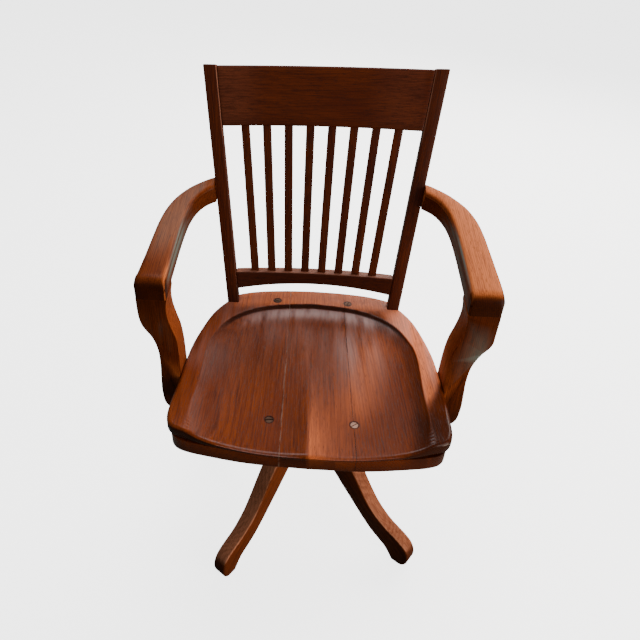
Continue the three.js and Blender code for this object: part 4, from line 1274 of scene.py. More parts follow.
    def sawn(self, shape: Shape, x: float, slant: float, keep: int) -> None:
        """Saws the slab along a glue line and keeps what lies on one side of it.

        Args:
            shape: The slab.
            x: Where the saw crosses the swivel's axis, in millimetres.
            slant: How far the saw drifts across for each millimetre towards the back.
            keep: 1 for what lies above x, -1 for what lies below.
        """
        loop = sawn_off(shape, place(x, 0, 0), (keep, -keep * slant, 0))
        bmesh.ops.contextual_create(shape, geom=loop)


@dataclass(frozen=True)
class SeatBolt:
    """A slotted countersunk bolt through the seat and its strap.

    Attributes:
        name: The bolt's name.
        x: Its place across the seat.
        y: Its place along the seat, from the swivel axis.
        slot_turn: The turn of its slot in degrees.
        finish: The finish of its steel.
        shank: The radius of its shank.
        head: The radius of its head.
        slot_width: The width of its slot.
        slot_depth: The depth of its slot.
        tail: The height of its lower end.
        clearance: The play about it in its hole.
    """

    name: str
    x: float
    y: float
    slot_turn: float
    finish: IronFinish = DULL_SCREW
    shank: float = 3.8
    head: float = 7.2
    slot_width: float = 1.8
    slot_depth: float = 1.6
    tail: float = 359.6
    clearance: float = 0.3

    def level(self, seat: Seat) -> float:
        """Gives the height of the head's top, sunk a little below the wood."""
        return seat.top(self.x, self.y) - 0.4

    def upright(self, profile: list[Pair], steps: int) -> Shape:
        """Spins a profile about the bolt's own axis."""
        return moved(turned(profile, steps), lambda co: co + place(self.x, self.y, 0))

    def hole(self, seat: Seat) -> Shape:
        """Makes the tool for its hole.

        Args:
            seat: The seat that it is sunk into.

        Returns:
            The tool's shape.
        """
        top = self.level(seat)
        cone = self.head - self.shank
        bore, low, high = self.shank + self.clearance, 340, top + 12
        return self.upright([
            (0, low), (bore, low), (bore, top - cone), (self.head + self.clearance, top),
            (self.head + 0.5, high), (0, high)], 40)

    def build(self, seat: Seat) -> None:
        """Makes the bolt and saws its slot.

        Args:
            seat: The seat that it is sunk into.
        """
        top = self.level(seat)
        shank, head, tail = self.shank, self.head, self.tail
        shape = self.upright([
            (0, tail), (shank - 0.6, tail), (shank, tail + 0.6), (shank, top - (head - shank)),
            (head - 0.15, top - 0.25), (head - 0.5, top), (head / 2, top + 0.12), (0, top + 0.15),
        ], 48)
        piece = finished(self.name, shape, self.finish.on(self.name), Slot.SCREW, Body.SEAT)
        turn = Matrix.Rotation(math.radians(self.slot_turn), 3, "Z")
        size = Matrix.Diagonal((head * 3, self.slot_width, self.slot_depth * 2)) * MM
        centre = place(self.x, self.y, top + 0.15)
        blade = moved(bar((1, 1, 1)), lambda co: turn @ (size @ co) + centre)
        carved(piece, [tool(blade)])


BOLTS = (
    SeatBolt("seat_bolt_front_left", -70.0, -159, 8),
    SeatBolt("seat_bolt_front_right", 81.0, -159, 38, SCREW_STEEL),
    SeatBolt("seat_bolt_rear_left", -75.5, 163, -22),
    SeatBolt("seat_bolt_rear_right", 75.5, 163, 64),
)


@dataclass(frozen=True)
class Rail:
    """A rail that is bent back in its middle and fits between the splayed posts.

    Attributes:
        name: The rail's name.
        low: Its lower edge up the rake.
        high: Its upper edge.
        thickness: Its thickness.
        bow: How far its middle is bent back.
        set_back: How far its ends lie behind the posts' front.
        arch: How far its lower edge rises in the middle.
        arris: The rounding of its edges.
        crown: How far its upper edge rises in the middle.
        rear_rise: How much higher its upper edge is behind than in front.
        pith: Where the tree's centre lay.
    """

    name: str
    low: float
    high: float
    thickness: float
    bow: float
    set_back: float
    arch: float
    arris: float
    crown: float
    rear_rise: float
    pith: Pair


@dataclass
class Back:
    """The raked back: two posts, a crest rail, a bowed lower rail and eight slats."""

    foot_y: float = 149.2
    foot_z: float = 438
    foot_sunk: float = 12
    length: float = 486.86
    rake: float = math.radians(19.5)
    post_width: float = 24.3
    post_spread: float = 2.3
    post_depth: float = 22
    post_arris: float = 2.4
    foot_x: float = 171
    top_x: float = 223.8
    joint_gap: float = 0.3
    crest: Rail = Rail("crest_rail", 370.5, 485.2, 14, 9.3, 0.5, 3.5, 3.4, 2.4, 0, (-30.0, -160.0))
    lower: Rail = Rail("lower_back_rail", 31.5, 68.5, 21, 13, 1.5, 13, 1.8, 0, 3.5, (20.0, -60.0))
    slats: int = 8
    slat_width: float = 16.8
    slat_depth: float = 8
    slat_arris: float = 1.5
    slat_pitches: Pair = (35.3, 43.77)
    slat_drift: float = 1.8
    slat_tenon: float = 9

    def on_back(self, x: float, up: float, front: float) -> Vector:
        """Puts a point of the back's own plane into the chair's frame."""
        y = self.foot_y + up * math.sin(self.rake) - front * math.cos(self.rake)
        return place(x, y, self.foot_z + up * math.cos(self.rake) + front * math.sin(self.rake))

    def post_x(self, up: float) -> float:
        """Gives a post's middle across the chair at a height up the rake."""
        return lerp(self.foot_x, self.top_x, up / self.length)

    def post_half(self, up: float) -> float:
        """Gives half a post's width at a height up the rake."""
        return (self.post_width + self.post_spread * up / self.length) / 2

    def up_vector(self, side: int = 0) -> Triple:
        """Gives the direction up the back, or up one of its posts."""
        lean = side * (self.top_x - self.foot_x) / self.length
        return lean, math.sin(self.rake), math.cos(self.rake)

    def face_vector(self) -> Triple:
        """Gives the direction out of the back's front."""
        return 0, -math.cos(self.rake), math.sin(self.rake)

    def build(self) -> None:
        """Makes every piece of the back."""
        for side, name in ((1, "back_post_right"), (-1, "back_post_left")):
            self.post(side, name)
        for rail in (self.crest, self.lower):
            self.rail(rail)
        for index in range(self.slats):
            self.slat(index)

    def post(self, side: int, name: str) -> None:
        """Makes a post, cut level where it stands on the seat.

        Args:
            side: 1 for the right one, -1 for the left one.
            name: The post's name.
        """

        def where(co: Vector) -> Vector:
            """Lays the block along the post's slant.

            Args:
                co: A point of the block.

            Returns:
                Its place in the chair.
            """
            up = lerp(-self.foot_sunk, self.length, co.y + 0.5)
            x = self.post_x(up) + co.x * 2 * self.post_half(up)
            return self.on_back(side * x, up, (co.z - 0.5) * self.post_depth)

        shape = moved(bar((1, 24, 1)), where)
        eased(shape, self.post_arris * MM, 3, crisp)
        rim = sawn_off(shape, Vector((0, 0, (self.foot_z + self.joint_gap) * MM)), (0, 0, 1))
        bmesh.ops.contextual_create(shape, geom=rim)
        board = Board(self.up_vector(side), self.face_vector(), (35.0, -50.0), 2.6)
        finished(
            name, shape, BACK_OAK.on(name, board), Slot.BACK, Body.SEAT,
            lambda co, normal: self.post_tint(co, normal, side))

    def post_tint(self, co: Vector, normal: Vector, side: int) -> Marks:
        """Rubs a post's arrises, darkens its foot and shades the right one's face.

        Args:
            co: A point of the piece.
            normal: The surface's direction there.
            side: 1 for the right one, -1 for the left one.

        Returns:
            How worn, how dark and, where it is given, how much painted sheen the point has.
        """
        up = self.flat(co)[0]
        ahead, outwards = Vector(self.face_vector()), Vector((side, 0, 0))
        inner = between(normal, ahead, -outwards) * smooth_step(340, 372, up)
        outer = 0.3 * between(normal, ahead, outwards)
        foot = 0.5 * smooth_step(60, 0, up)
        face = 0.3 * smooth_step(0.6, 0.9, normal.dot(ahead)) * smooth_step(150, 260, up)
        face *= side > 0
        return min(inner + outer, 1.0), min(foot + face, 1.0)

    def flat(self, co: Vector) -> Triple:
        """Turns a place into (up the rake, across, out of the front) in millimetres.

        Args:
            co: The place.

        Returns:
            The three distances.
        """
        x, y, z = from_axis(co)
        y, z = y - self.foot_y, z - self.foot_z
        up = y * math.sin(self.rake) + z * math.cos(self.rake)
        return up, x, -y * math.cos(self.rake) + z * math.sin(self.rake)

    def rail(self, rail: Rail) -> None:
        """Bends a rail and fits it between the posts.

        Args:
            rail: The rail's sizes.
        """

        def where(co: Vector) -> Vector:
            """Lays the block between the posts.

            Args:
                co: A point of the block.

            Returns:
                Its place in the chair.
            """
            middle = 1 - (co.x * 2) ** 2
            behind = rail.rear_rise * (0.5 - co.z) * (1 + 0.8 * middle)
            top = rail.high + behind + rail.crown * middle
            up = lerp(rail.low + rail.arch * middle, top, co.y + 0.5)
            half = self.post_x(up) - self.post_half(up) - self.joint_gap
            front = (co.z - 0.5) * rail.thickness - rail.set_back - rail.bow * middle
            return self.on_back(co.x * 2 * half, up, front)

        shape = moved(bar((48, 6, 1)), where)
        eased(shape, rail.arris * MM, 3, crisp)
        board = Board((1, 0, 0), self.face_vector(), rail.pith, 3.0)
        tint = self.crest_tint if rail is self.crest else self.lower_tint
        finished(rail.name, shape, BACK_OAK.on(rail.name, board), Slot.BACK, Body.SEAT, tint)

    def crest_tint(self, co: Vector, normal: Vector) -> Marks:
        """Warms the crest's ends and shades its lower edge.

        Args:
            co: A point of the piece.
            normal: The surface's direction there.

        Returns:
            How worn, how dark and, where it is given, how much painted sheen the point has.
        """
        up, across, _ = self.flat(co)
        right = 0.06 * smooth_step(70, 150, across) * smooth_step(205, 185, across)
        left = 0.1 * smooth_step(100, 180, -across)
        return right + left, 0.25 * smooth_step(9, 2, up - self.crest.low)

    def lower_tint(self, co: Vector, normal: Vector) -> Marks:
        """Rubs the lower rail's top and shades the rest."""
        top = smooth_step(-1.5, -0.4, self.flat(co)[0] - self.lower.high)
        return 0.4 * top, 0.45 * (1 - top)

    def slat(self, index: int) -> None:
        """Makes one slat, let into the lower rail and the crest.

        Args:
            index: Its place in the row, from the left.
        """
        crest, lower = self.crest, self.lower
        from_middle = index - (self.slats - 1) / 2
        low_x, high_x = (from_middle * pitch for pitch in self.slat_pitches)
        low_x -= self.slat_drift
        low_up, high_up = lower.high - self.slat_tenon, crest.low + crest.arch + self.slat_tenon
        low_front = self.let_in(lower, lower.high, low_x)
        high_front = self.let_in(crest, crest.low, high_x)

        def where(co: Vector) -> Vector:
            """Lays the block from rail to rail.

            Args:
                co: A point of the block.

            Returns:
                Its place in the chair.
            """
            share = co.y + 0.5
            x = lerp(low_x, high_x, share) + co.x * self.slat_width
            front = lerp(low_front, high_front, share) + co.z * self.slat_depth
            return self.on_back(x, lerp(low_up, high_up, share), front)

        shape = moved(bar((1, 12, 1)), where)
        eased(shape, self.slat_arris * MM, 3, crisp)
        name = f"back_slat_{index + 1}"
        board = Board(self.up_vector(), self.face_vector(), (12.0 + 5 * from_middle, -45.0), 2.4)
        finished(name, shape, BACK_OAK.on(name, board), Slot.BACK, Body.SEAT)

    def let_in(self, rail: Rail, edge: float, x: float) -> float:
        """Gives where a slat at x meets the middle of a rail's thickness."""
        half = self.post_x(edge) - self.post_half(edge)
        return -rail.set_back - rail.bow * (1 - (x / half) ** 2) - rail.thickness / 2


@dataclass
class Arms:
    """The two sawn arms and the curved boards that carry them."""

    back: Back
    seat: Seat
    top_front: float = 652
    thickness: float = 40
    slope: float = 0.115
    front_reach: float = 76
    rear_reach: float = 251
    outer_x: float = 311.4
    arris: float = 8
    outer_arris: float = 9.5
    nose_round: float = 20
    nose_corner: float = 6.5
    inner_corner: float = 4
    lower_arris: float = 0.8
    crown: float = 1.6
    stations: int = 90
    support_depth: float = 50
    support_front: float = 75
    support_foot: float = 354
    support_bulge: float = 311.4
    support_arris: float = 4
    foot_reach: float = 8
    front_arris: float = 4
    right_arm_swell: float = 3
    right_waist_swell: float = 6
    waist_hollow: float = 3
    bold_from: float = 266
    joint_gap: float = 0.3
    outer_shares: Shares = field(default_factory=lambda: [
        (0.62, -0.012), (0.7, 0.006), (0.8, 0.082), (0.862, 0.152), (0.916, 0.245), (0.95, 0.352),
        (0.968, 0.47), (0.9765, 0.6), (0.984, 0.75), (0.993, 0.89), (1, 1)])
    inner_shares: Shares = field(default_factory=lambda: [
        (0.61, 0.078), (0.672, 0.107), (0.739, 0.168), (0.782, 0.255), (0.805, 0.36), (0.815, 0.49),
        (0.819, 0.62), (0.821, 0.77), (0.822, 0.9), (0.822, 1)])
    support_outer: Shares = field(default_factory=lambda: [
        (0.885, 0), (0.903, 0.05), (0.91, 0.167), (0.905, 0.294), (0.901, 0.415), (0.909, 0.535),
        (0.9396, 0.647), (0.965, 0.701), (0.9856, 0.756), (0.996, 0.81), (1, 0.88), (1, 1)])
    support_inner: Shares = field(default_factory=lambda: [
        (0.82, 1), (0.829, 0.93), (0.826, 0.84), (0.81, 0.74), (0.792, 0.65), (0.782, 0.54),
        (0.778, 0.4), (0.777, 0.2), (0.783, 0.06), (0.8, 0.012), (0.84, 0)])

    def height(self, y: float) -> float:
        """Gives the height of an arm's top, which rises towards the back."""
        return self.top_front + (y + self.front_reach) * self.slope

    def build(self) -> None:
        """Makes both arms and both supports."""
        for side, name in ((1, "right"), (-1, "left")):
            self.arm(side, f"arm_{name}")
            self.support(side, f"arm_support_{name}")

    def section(self, width: float, drop: float) -> list[Pair]:
        """Draws the arm's cross-section as (across, up) points, eased more on top than below.

        Args:
            width: Its width.
            drop: How far its top has sunk towards the rounded nose.

        Returns:
            The section's points, in order.
        """
        foot = -self.thickness
        corners = (
            (0, 0, self.arris, math.pi), (width, 0, self.outer_arris, math.pi / 2),
            (width, foot, self.lower_arris, 0), (0, foot, self.lower_arris, -math.pi / 2))
        flank = [lerp(-self.arris, foot + self.lower_arris, k / 4) for k in range(1, 4)]
        top = [lerp(self.arris, width - self.outer_arris, k / 8) for k in range(1, 8)]
        stretches = (
            [(x, 0.0) for x in top], [(width, z) for z in flank], [],
            [(0.0, foot - z) for z in flank])
        points = []
        for (x, z, radius, start), stretch in zip(corners, stretches):
            centre_x = x + (radius if x == 0 else -radius)
            centre_z = z + (-radius if z == 0 else radius)
            for turn in (start - math.pi / 2 * k / 5 for k in range(6)):
                points.append(
                    (centre_x + radius * math.cos(turn), centre_z + radius * math.sin(turn)))
            points += stretch
        section = []
        for x, z in points:
            bulge = self.crown * (x / width * 2 - 1) ** 2 if z > -self.arris else 0.0
            level = min(z - bulge, 0.0)
            section.append((x, level - drop * max(0.0, 1 + level / self.thickness)))
        return section

    def arm_side(self, shares: Shares, swell: float = 0.0) -> Outline:
        """Draws one side of an arm from its rear end, filled out by a swell in millimetres.

        Args:
            shares: Its points as shares of the arm's width and length.
            swell: How far it is filled out.

        Returns:
            The line's points.
        """
        line = []
        for x, y in shares:
            across = min(x * self.outer_x + swell * smooth_step(0.1, 0.3, y), self.outer_x)
            line.append((across, lerp(self.rear_reach, -self.front_reach, y)))
        return spline(line, self.stations)

    def arm(self, side: int, name: str) -> None:
        """Lofts an arm from its rear end to its rounded nose.

        Args:
            side: 1 for the right one, -1 for the left one.
            name: The arm's name.
        """
        outer = self.arm_side(self.outer_shares, self.right_arm_swell * (side > 0))
        inner = self.arm_side(self.inner_shares)
        near, far = inner[-1], outer[-1]
        nose = -self.front_reach + self.nose_round
        rings = [(a, b, 0.0) for a, b in zip(inner, outer) if a.y > nose]
        across = (far - near).normalized()
        for sine, cosine in quarter(14):
            back, drop = self.nose_round * (1 - sine), self.nose_round * (1 - cosine)
            start = near + Vector((0, back)) + across * self.inset(self.inner_corner, back)
            end = far + Vector((0, back)) - across * self.inset(self.nose_corner, back)
            rings.append((start, end, drop))
        shape = bmesh.new()
        loop = None
        for near, far, drop in rings:
            across = (far - near).normalized()
            points = []
            for x, z in self.section((far - near).length, drop):
                spot = near + across * x
                points.append(place(side * spot.x, spot.y, self.height(spot.y) + z))
            loop = self.extended(shape, loop, points)
        bmesh.ops.remove_doubles(shape, verts=shape.verts, dist=1e-6)
        bmesh.ops.holes_fill(shape, edges=[edge for edge in shape.edges if edge.is_boundary])
        self.trimmed(shape, side)
        board = Board((0, 1, self.slope), (0, 0, 1), (side * 250.0, 520.0), 3.2)
        finished(
            name, shape, ARM_OAK.on(name, board), Slot.ARM, Body.SEAT,
            lambda co, normal: self.arm_tint(co, normal, side), sharp=40)

    def inset(self, radius: float, back: float) -> float:
        """Gives how far a rounded corner has drawn in at a distance behind the nose."""
        left = max(radius - back, 0.0)
        return radius - math.sqrt(radius * radius - left * left)

    def extended(
        self, shape: Shape, loop: list[Edge] | None, points: list[Vector]
    ) -> list[Edge]:
        """Extrudes a loop of edges on to the next cross-section.

        Args:
            shape: The shape under way.
            loop: The edges of the last cross-section, or None for the first.
            points: The next cross-section's points.

        Returns:
            The edges of the new cross-section, in order.
        """
        if loop is None:
            verts = [shape.verts.new(point) for point in points]
            return [shape.edges.new((a, b)) for a, b in zip(verts, verts[1:] + verts[:1])]
        grown = bmesh.ops.extrude_edge_only(shape, edges=loop)["geom"]
        fresh = [item for item in grown if isinstance(item, Edge)]
        ring = self.walked(fresh, loop)
        for vertex, point in zip(ring, points):
            vertex.co = point
        return [self.joining(a, b) for a, b in zip(ring, ring[1:] + ring[:1])]

    def walked(
        self, fresh: list[Edge], loop: list[Edge]
    ) -> list[Vert]:
        """Lists a new loop's points in the order of the loop that it grew from.

        Args:
            fresh: The new loop's edges.
            loop: The old loop's edges, in order.

        Returns:
            The new loop's points, in order.
        """
        new = {vertex for edge in fresh for vertex in edge.verts}
        ring = []
        for before, edge in zip(loop[-1:] + loop[:-1], loop):
            old = next(vertex for vertex in edge.verts if vertex in before.verts)
            grown = (link.other_vert(old) for link in old.link_edges)
            ring.append(next(vertex for vertex in grown if vertex in new))
        return ring

    def joining(self, first: Vert, second: Vert) -> Edge:
        """Finds the edge that joins two points."""
        return next(edge for edge in first.link_edges if edge.other_vert(first) is second)

    def trimmed(self, shape: Shape, side: int) -> None:
        """Cuts an arm's rear end against the outer side of its post.

        Args:
            shape: The arm.
            side: 1 for the right one, -1 for the left one.
        """
        back = self.back
        lean = math.atan2(back.top_x - back.foot_x + back.post_spread / 2, back.length)
        up = Vector(back.up_vector()).normalized()
        normal = Vector((side * math.cos(lean), 0, 0)) - up * math.sin(lean)
        out = (back.post_width / 2 + self.joint_gap) / math.cos(lean)
        rim = sawn_off(shape, back.on_back(side * (back.foot_x + out), 0, 0), normal)
        bmesh.ops.holes_fill(shape, edges=rim)

    def arm_tint(self, co: Vector, normal: Vector, side: int) -> Marks:
        """Marks a point of an arm with wear and with painted light, shade and reflection.

        Args:
            co: The point.
            normal: The surface's direction there.
            side: 1 for the right arm, -1 for the left one.

        Returns:
            How worn and painted lit, how dark and painted shaded, and how much painted reflection
            it has.
        """
        _, y, _ = from_axis(co)
        right = side > 0
        forward = -self.front_reach
        upper = smooth_step(0.55, 0.9, normal.z)
        # Painted shade on the rounded nose, which turns down from the light.
        facing_up = normal.z + 0.4 * smooth_step(forward + 16, forward + 24, y)
        nose = smooth_step(0.9, 0.45, facing_up) * smooth_step(forward + 20, forward + 14, y)
        body = 1 - nose

        inwards = Vector((-side, 0, 0))
        beside = (Vector((0, 0, 1)), Vector((0, -1, 0)))
        inner = max(between(normal, face, inwards) for face in beside)
        arris = (0.3 if right else 0.75) * inner * smooth_step(0, -50, y)
        # Painted light on the right arm's top, which faces the light, over a little wear on the
        # left one.
        rubbed_and_lit = upper * (0.8 if right else 0.08 + 0.2 * smooth_step(-40, 60, y))

        # Painted shade on the left arm's top, which the light misses, and on the sides and
        # underside of both arms.
        shade = 0.0 if right else upper * lerp(0.3, 0.12, smooth_step(-60, 60, y))
        flank = 0.35 * smooth_step(0.5, 0.1, normal.z)
        dark = nose + (flank + shade) * body

        # Painted reflection of the floor on the inner face, and painted sheen on the left arm's
        # top.
        painted_sheen_mask = 0.75 * smooth_step(0.6, 0.9, normal.dot(inwards)) * smooth_step(-70, -20, y)
        painted_sheen_mask *= smooth_step(190, 110, y)
        painted_sheen_mask += 0.0 if right else 0.2 * upper * smooth_step(-40, 60, y)
        return min(rubbed_and_lit * body + arris, 1.0), min(dark * (1 - min(arris, 1.0)), 1.0), painted_sheen_mask * body

    def support_side(self, shares: Shares, top: float, steps: int, swell: float = 0.0) -> Outline:
        """Draws one side of a support.

        Args:
            shares: Its points as shares of the bulge and of the height.
            top: The height of its upper end.
            steps: How many stretches the line gets.
            swell: How far its waist is filled out, in millimetres.

        Returns:
            The line's points.
        """
        line = []
        for x, z in shares:
            across = min(x * self.support_bulge + swell * bell(z, 0.71, 0.16), self.support_bulge)
            line.append((across, lerp(self.support_foot, top, z)))
        return spline(line, steps)

    def support(self, side: int, name: str) -> None:
        """Saws a support from a board and fits it to the arm above and the seat beside it.

        Args:
            side: 1 for the right one, -1 for the left one.
            name: The support's name.
        """
        top = self.height(-self.support_front) - self.thickness
        outer = self.support_side(self.support_outer, top, 60, self.right_waist_swell * (side > 0))
        inner = self.support_side(self.support_inner, top, 56)
        head = [Vector((line.x, top + 12)) for line in (outer[-1], inner[0])]
        shape = prism([*outer, *head, *inner], -self.support_depth / 2, self.support_depth / 2)
        middle = self.support_depth / 2 - self.support_front
        moved(shape, lambda co: place(side * co.x, middle + co.z, co.y))
        front_y = place(0, -self.support_front, 0).y + 0.01 * MM

        def arris(edge: Edge) -> bool:
            """Chooses the crisp edges about the front and the back."""
            return abs(edge.verts[0].co.y - edge.verts[1].co.y) < 1e-6 and crisp(edge)

        def bold(edge: Edge) -> bool:
            """Chooses the front's outer arris."""
            corner = edge.verts[0].co
            return arris(edge) and corner.y < front_y and abs(corner.x) > self.bold_from * MM

        eased(shape, self.front_arris * MM, 5, bold)
        shape.normal_update()
        eased(shape, self.support_arris * MM, 4, lambda edge: arris(edge) and crisp(edge, 70))
        joint = place(0, 0, self.height(0) - self.thickness - self.joint_gap)
        rim = sawn_off(shape, joint, Vector((0, self.slope, -1)).normalized())
        bmesh.ops.contextual_create(shape, geom=rim)
        moved(shape, self.swayed)
        moved(shape, lambda co: self.beside_seat(co, side))
        board = Board((0, 0, 1), (0, -1, 0), (side * 280.0, -60.0), 3.0)
        finished(
            name, shape, ARM_OAK.on(name, board), Slot.ARM, Body.SEAT,
            lambda co, normal: self.support_tint(co, normal, side), sharp=34)

    def swayed(self, co: Vector) -> Vector:
        """Draws a support's front forward at its foot and hollows it at its waist.

        Args:
            co: A point of the sawn board.

        Returns:
            Its new place.
        """
        _, y, z = from_axis(co)
        front = (self.support_depth - self.support_front - y) / self.support_depth
        foot = self.foot_reach * smooth_step(520, 430, z)
        waist = self.waist_hollow * bell(z, 520, 30)
        return Vector((co.x, co.y + front * (waist - foot) * MM, co.z))

    def beside_seat(self, co: Vector, side: int) -> Vector:
        """Keeps a support's inner face off the seat's edge.

        Args:
            co: A point of the support.
            side: 1 for the right one, -1 for the left one.

        Returns:
            Its new place.
        """
        x, y, z = from_axis(co)
        if z > self.seat.rim + 1:
            return co
        bearing = math.atan2(abs(x), self.seat.saddle_centre - y)
        least = self.seat.reach(self.seat.edge, bearing) * math.sin(bearing) + self.joint_gap
        return Vector((side * max(abs(x), least) * MM, co.y, co.z))

    def support_tint(self, co: Vector, normal: Vector, side: int) -> Marks:
        """Rubs a support's inner front arris, paints light on the left one's inner face, paints
        shade on its front, darkens it towards its foot and paints a reflection on its waist.

        Args:
            co: A point of the piece.
            normal: The surface's direction there.
            side: 1 for the right one, -1 for the left one.

        Returns:
            How worn and painted lit, how dark and painted shaded, and how much painted reflection
            the point has.
        """
        x, _, z = from_axis(co)
        right = side > 0
        ahead, inwards = Vector((0, -1, 0)), Vector((-side, 0, 0))
        arris = between(normal, ahead, inwards)
        # Painted light on the left support's inner face.
        inner = 0.0 if right else 0.2 * smooth_step(0.5, 0.9, normal.dot(inwards))
        front = smooth_step(0.5, 0.9, normal.dot(ahead))
        # Painted shade on the front face, which turns away from the light, darker near the top; the
        # piece also darkens towards its foot.
        dark = front * (0.5 + 0.3 * smooth_step(560, 612, z)) + 0.4 * smooth_step(430, 370, z)
        # Painted reflection across the front face's hollow waist.
        painted_sheen = (0.6 if right else 0.3) * front * bell(z, 518, 15) * smooth_step(268, 290, abs(x))
        worn_and_lit = (0.25 if right else 0.7) * arris + inner
        return min(worn_and_lit, 1.0), min(dark * (1 - arris), 1.0), painted_sheen


@dataclass
class Base:
    """The hub and the four sabre legs."""

    turn: float = math.radians(8.9)
    reach: float = 287
    top: float = 234
    thickness: float = 29
    root_swell: float = 1.15
    arris: float = 3.6
    hub_half: float = 52
    hub_chamfer: float = 17
    hub_bottom: float = 178
    hub_arris: float = 3.5
    hub_bore: float = 17.5
    hub_shade: float = 0.3
    joint_gap: float = 0.3
    root_share: float = 0.812
    top_shares: Shares = field(default_factory=lambda: [
        (0.28, 0.998), (0.36, 0.972), (0.411, 0.93), (0.453, 0.868), (0.505, 0.774), (0.575, 0.637),
        (0.645, 0.521), (0.714, 0.44), (0.784, 0.379), (0.854, 0.338), (0.913, 0.303),
        (0.962, 0.255), (0.99, 0.185), (0.995, 0.115), (0.98, 0.045), (0.955, 0.008)])
    sole_shares: Shares = field(default_factory=lambda: [(0.935, 0), (0.872, 0)])
    under_shares: Shares = field(default_factory=lambda: [
        (0.855, 0.03), (0.805, 0.11), (0.735, 0.172), (0.667, 0.233), (0.594, 0.321),
        (0.523, 0.414), (0.453, 0.505), (0.383, 0.594), (0.314, 0.688), (0.244, 0.77)])

    def build(self) -> None:
        """Makes the hub and its legs."""
        names = ("leg_rear_right", "leg_rear_left", "leg_front_left", "leg_front_right")
        for index, name in enumerate(names):
            self.leg(name, self.turn + math.radians(45 + 90 * index))
        self.hub()

    def leg(self, name: str, bearing: float) -> None:
        """Saws a leg from a board and rounds its arrises.

        Args:
            name: The leg's name.
            bearing: Where it points to, in radians.
        """
        root = self.hub_half + self.joint_gap
        back = spline([(root, self.top), *self.scaled(self.top_shares)], 90)
        sole = [Vector(point) for point in self.scaled(self.sole_shares)]
        under = spline([*self.scaled(self.under_shares), (root, self.root_share * self.top)], 60)
        shape = prism([*back, *sole, *under], -self.thickness / 2, self.thickness / 2)
        along = Vector((math.cos(bearing), math.sin(bearing), 0))
        across = Vector((-math.sin(bearing), math.cos(bearing), 0))

        def where(co: Vector) -> Vector:
            """Stands the board upright along the leg's bearing, thicker at its root.

            Args:
                co: A point of the board.

            Returns:
                Its place in the chair.
            """
            swell = lerp(self.root_swell, 1.0, smooth_step(150, 235, co.x))
            spot = along * co.x + across * -co.z * swell
            return place(spot.x, spot.y, co.y)

        rims = {edge for edge in shape.edges if abs(edge.verts[0].co.z - edge.verts[1].co.z) < 1e-6}
        eased(shape, self.arris, 4, lambda edge: edge in rims and crisp(edge))
        moved(shape, where)
        down = Vector((along.x, along.y, -1)).normalized()
        board = Board(tuple(down), tuple(across), (25.0, -70.0), 3.0)
        finished(
            name, shape, LEG_OAK.on(name, board), Slot.LEG, Body.BASE,
            lambda co, normal: self.leg_tint(co, normal, across), sharp=36)

    def scaled(self, shares: Shares) -> Shares:
        """Turns shares of a leg's reach and height into millimetres."""
        return [(x * self.reach, z * self.top) for x, z in shares]

    def leg_tint(self, co: Vector, normal: Vector, across: Vector) -> Marks:
        """Rubs a leg's arrises, paints light on its top and shade on the left-facing flank of the
        right-hand legs, and darkens its toe and its sole.

        Args:
            co: A point of the piece.
            normal: The surface's direction there.
            across: The direction across the leg.

        Returns:
            How worn and painted lit, how dark and painted shaded and, where it is given, how much
            painted sheen the point has.
        """
        x, y, z = from_axis(co)
        upper = smooth_step(0.35, 0.6, normal.z)
        arris = upper * smooth_step(0.2, 0.6, abs(normal.dot(across)))
        # Painted light on the leg's top, which faces the light.
        top = upper * lerp(0.78, 0.42, smooth_step(-60, 60, x))
        # Painted shade on the left-facing flanks of the right-hand legs, away from the light.
        flank = 0.5 * smooth_step(0.3, 0.6, -normal.x) * smooth_step(0, 30, x)
        toe = 0.7 * smooth_step(self.reach - 14, self.reach - 2, math.hypot(x, y))
        sole = 0.5 * smooth_step(14, 0, z)
        return arris + top, min(toe + sole + flank, 1.0)

    def hub(self) -> None:
        """Makes the eight-sided hub with its bore."""
        wide, cut = self.hub_half, self.hub_half - self.hub_chamfer
        corners = (
            (wide, -cut), (wide, cut), (cut, wide), (-cut, wide),
            (-wide, cut), (-wide, -cut), (-cut, -wide), (cut, -wide))
        shape = prism([Vector(corner) for corner in corners], self.hub_bottom, self.top)
        eased(shape, self.hub_arris, 3, lambda edge: crisp(edge, 20))
        turn = Matrix.Rotation(self.turn + math.radians(45), 3, "Z")
        moved(shape, lambda co: place(*(turn @ co)))
        board = Board((math.cos(self.turn), math.sin(self.turn), 0), (0, 0, 1), (10.0, 150.0), 3.2)
        piece = finished(
            "base_hub", shape, LEG_OAK.on("base_hub", board), Slot.LEG, Body.BASE,
            lambda co, normal: (0.0, self.hub_shade))
        low, high = self.hub_bottom - 28, self.top + 26
        bore = turned([(0, low), (self.hub_bore, low), (self.hub_bore, high), (0, high)])
        carved(piece, [tool(moved(bore, lambda co: co + place(0, 0, 0)))])


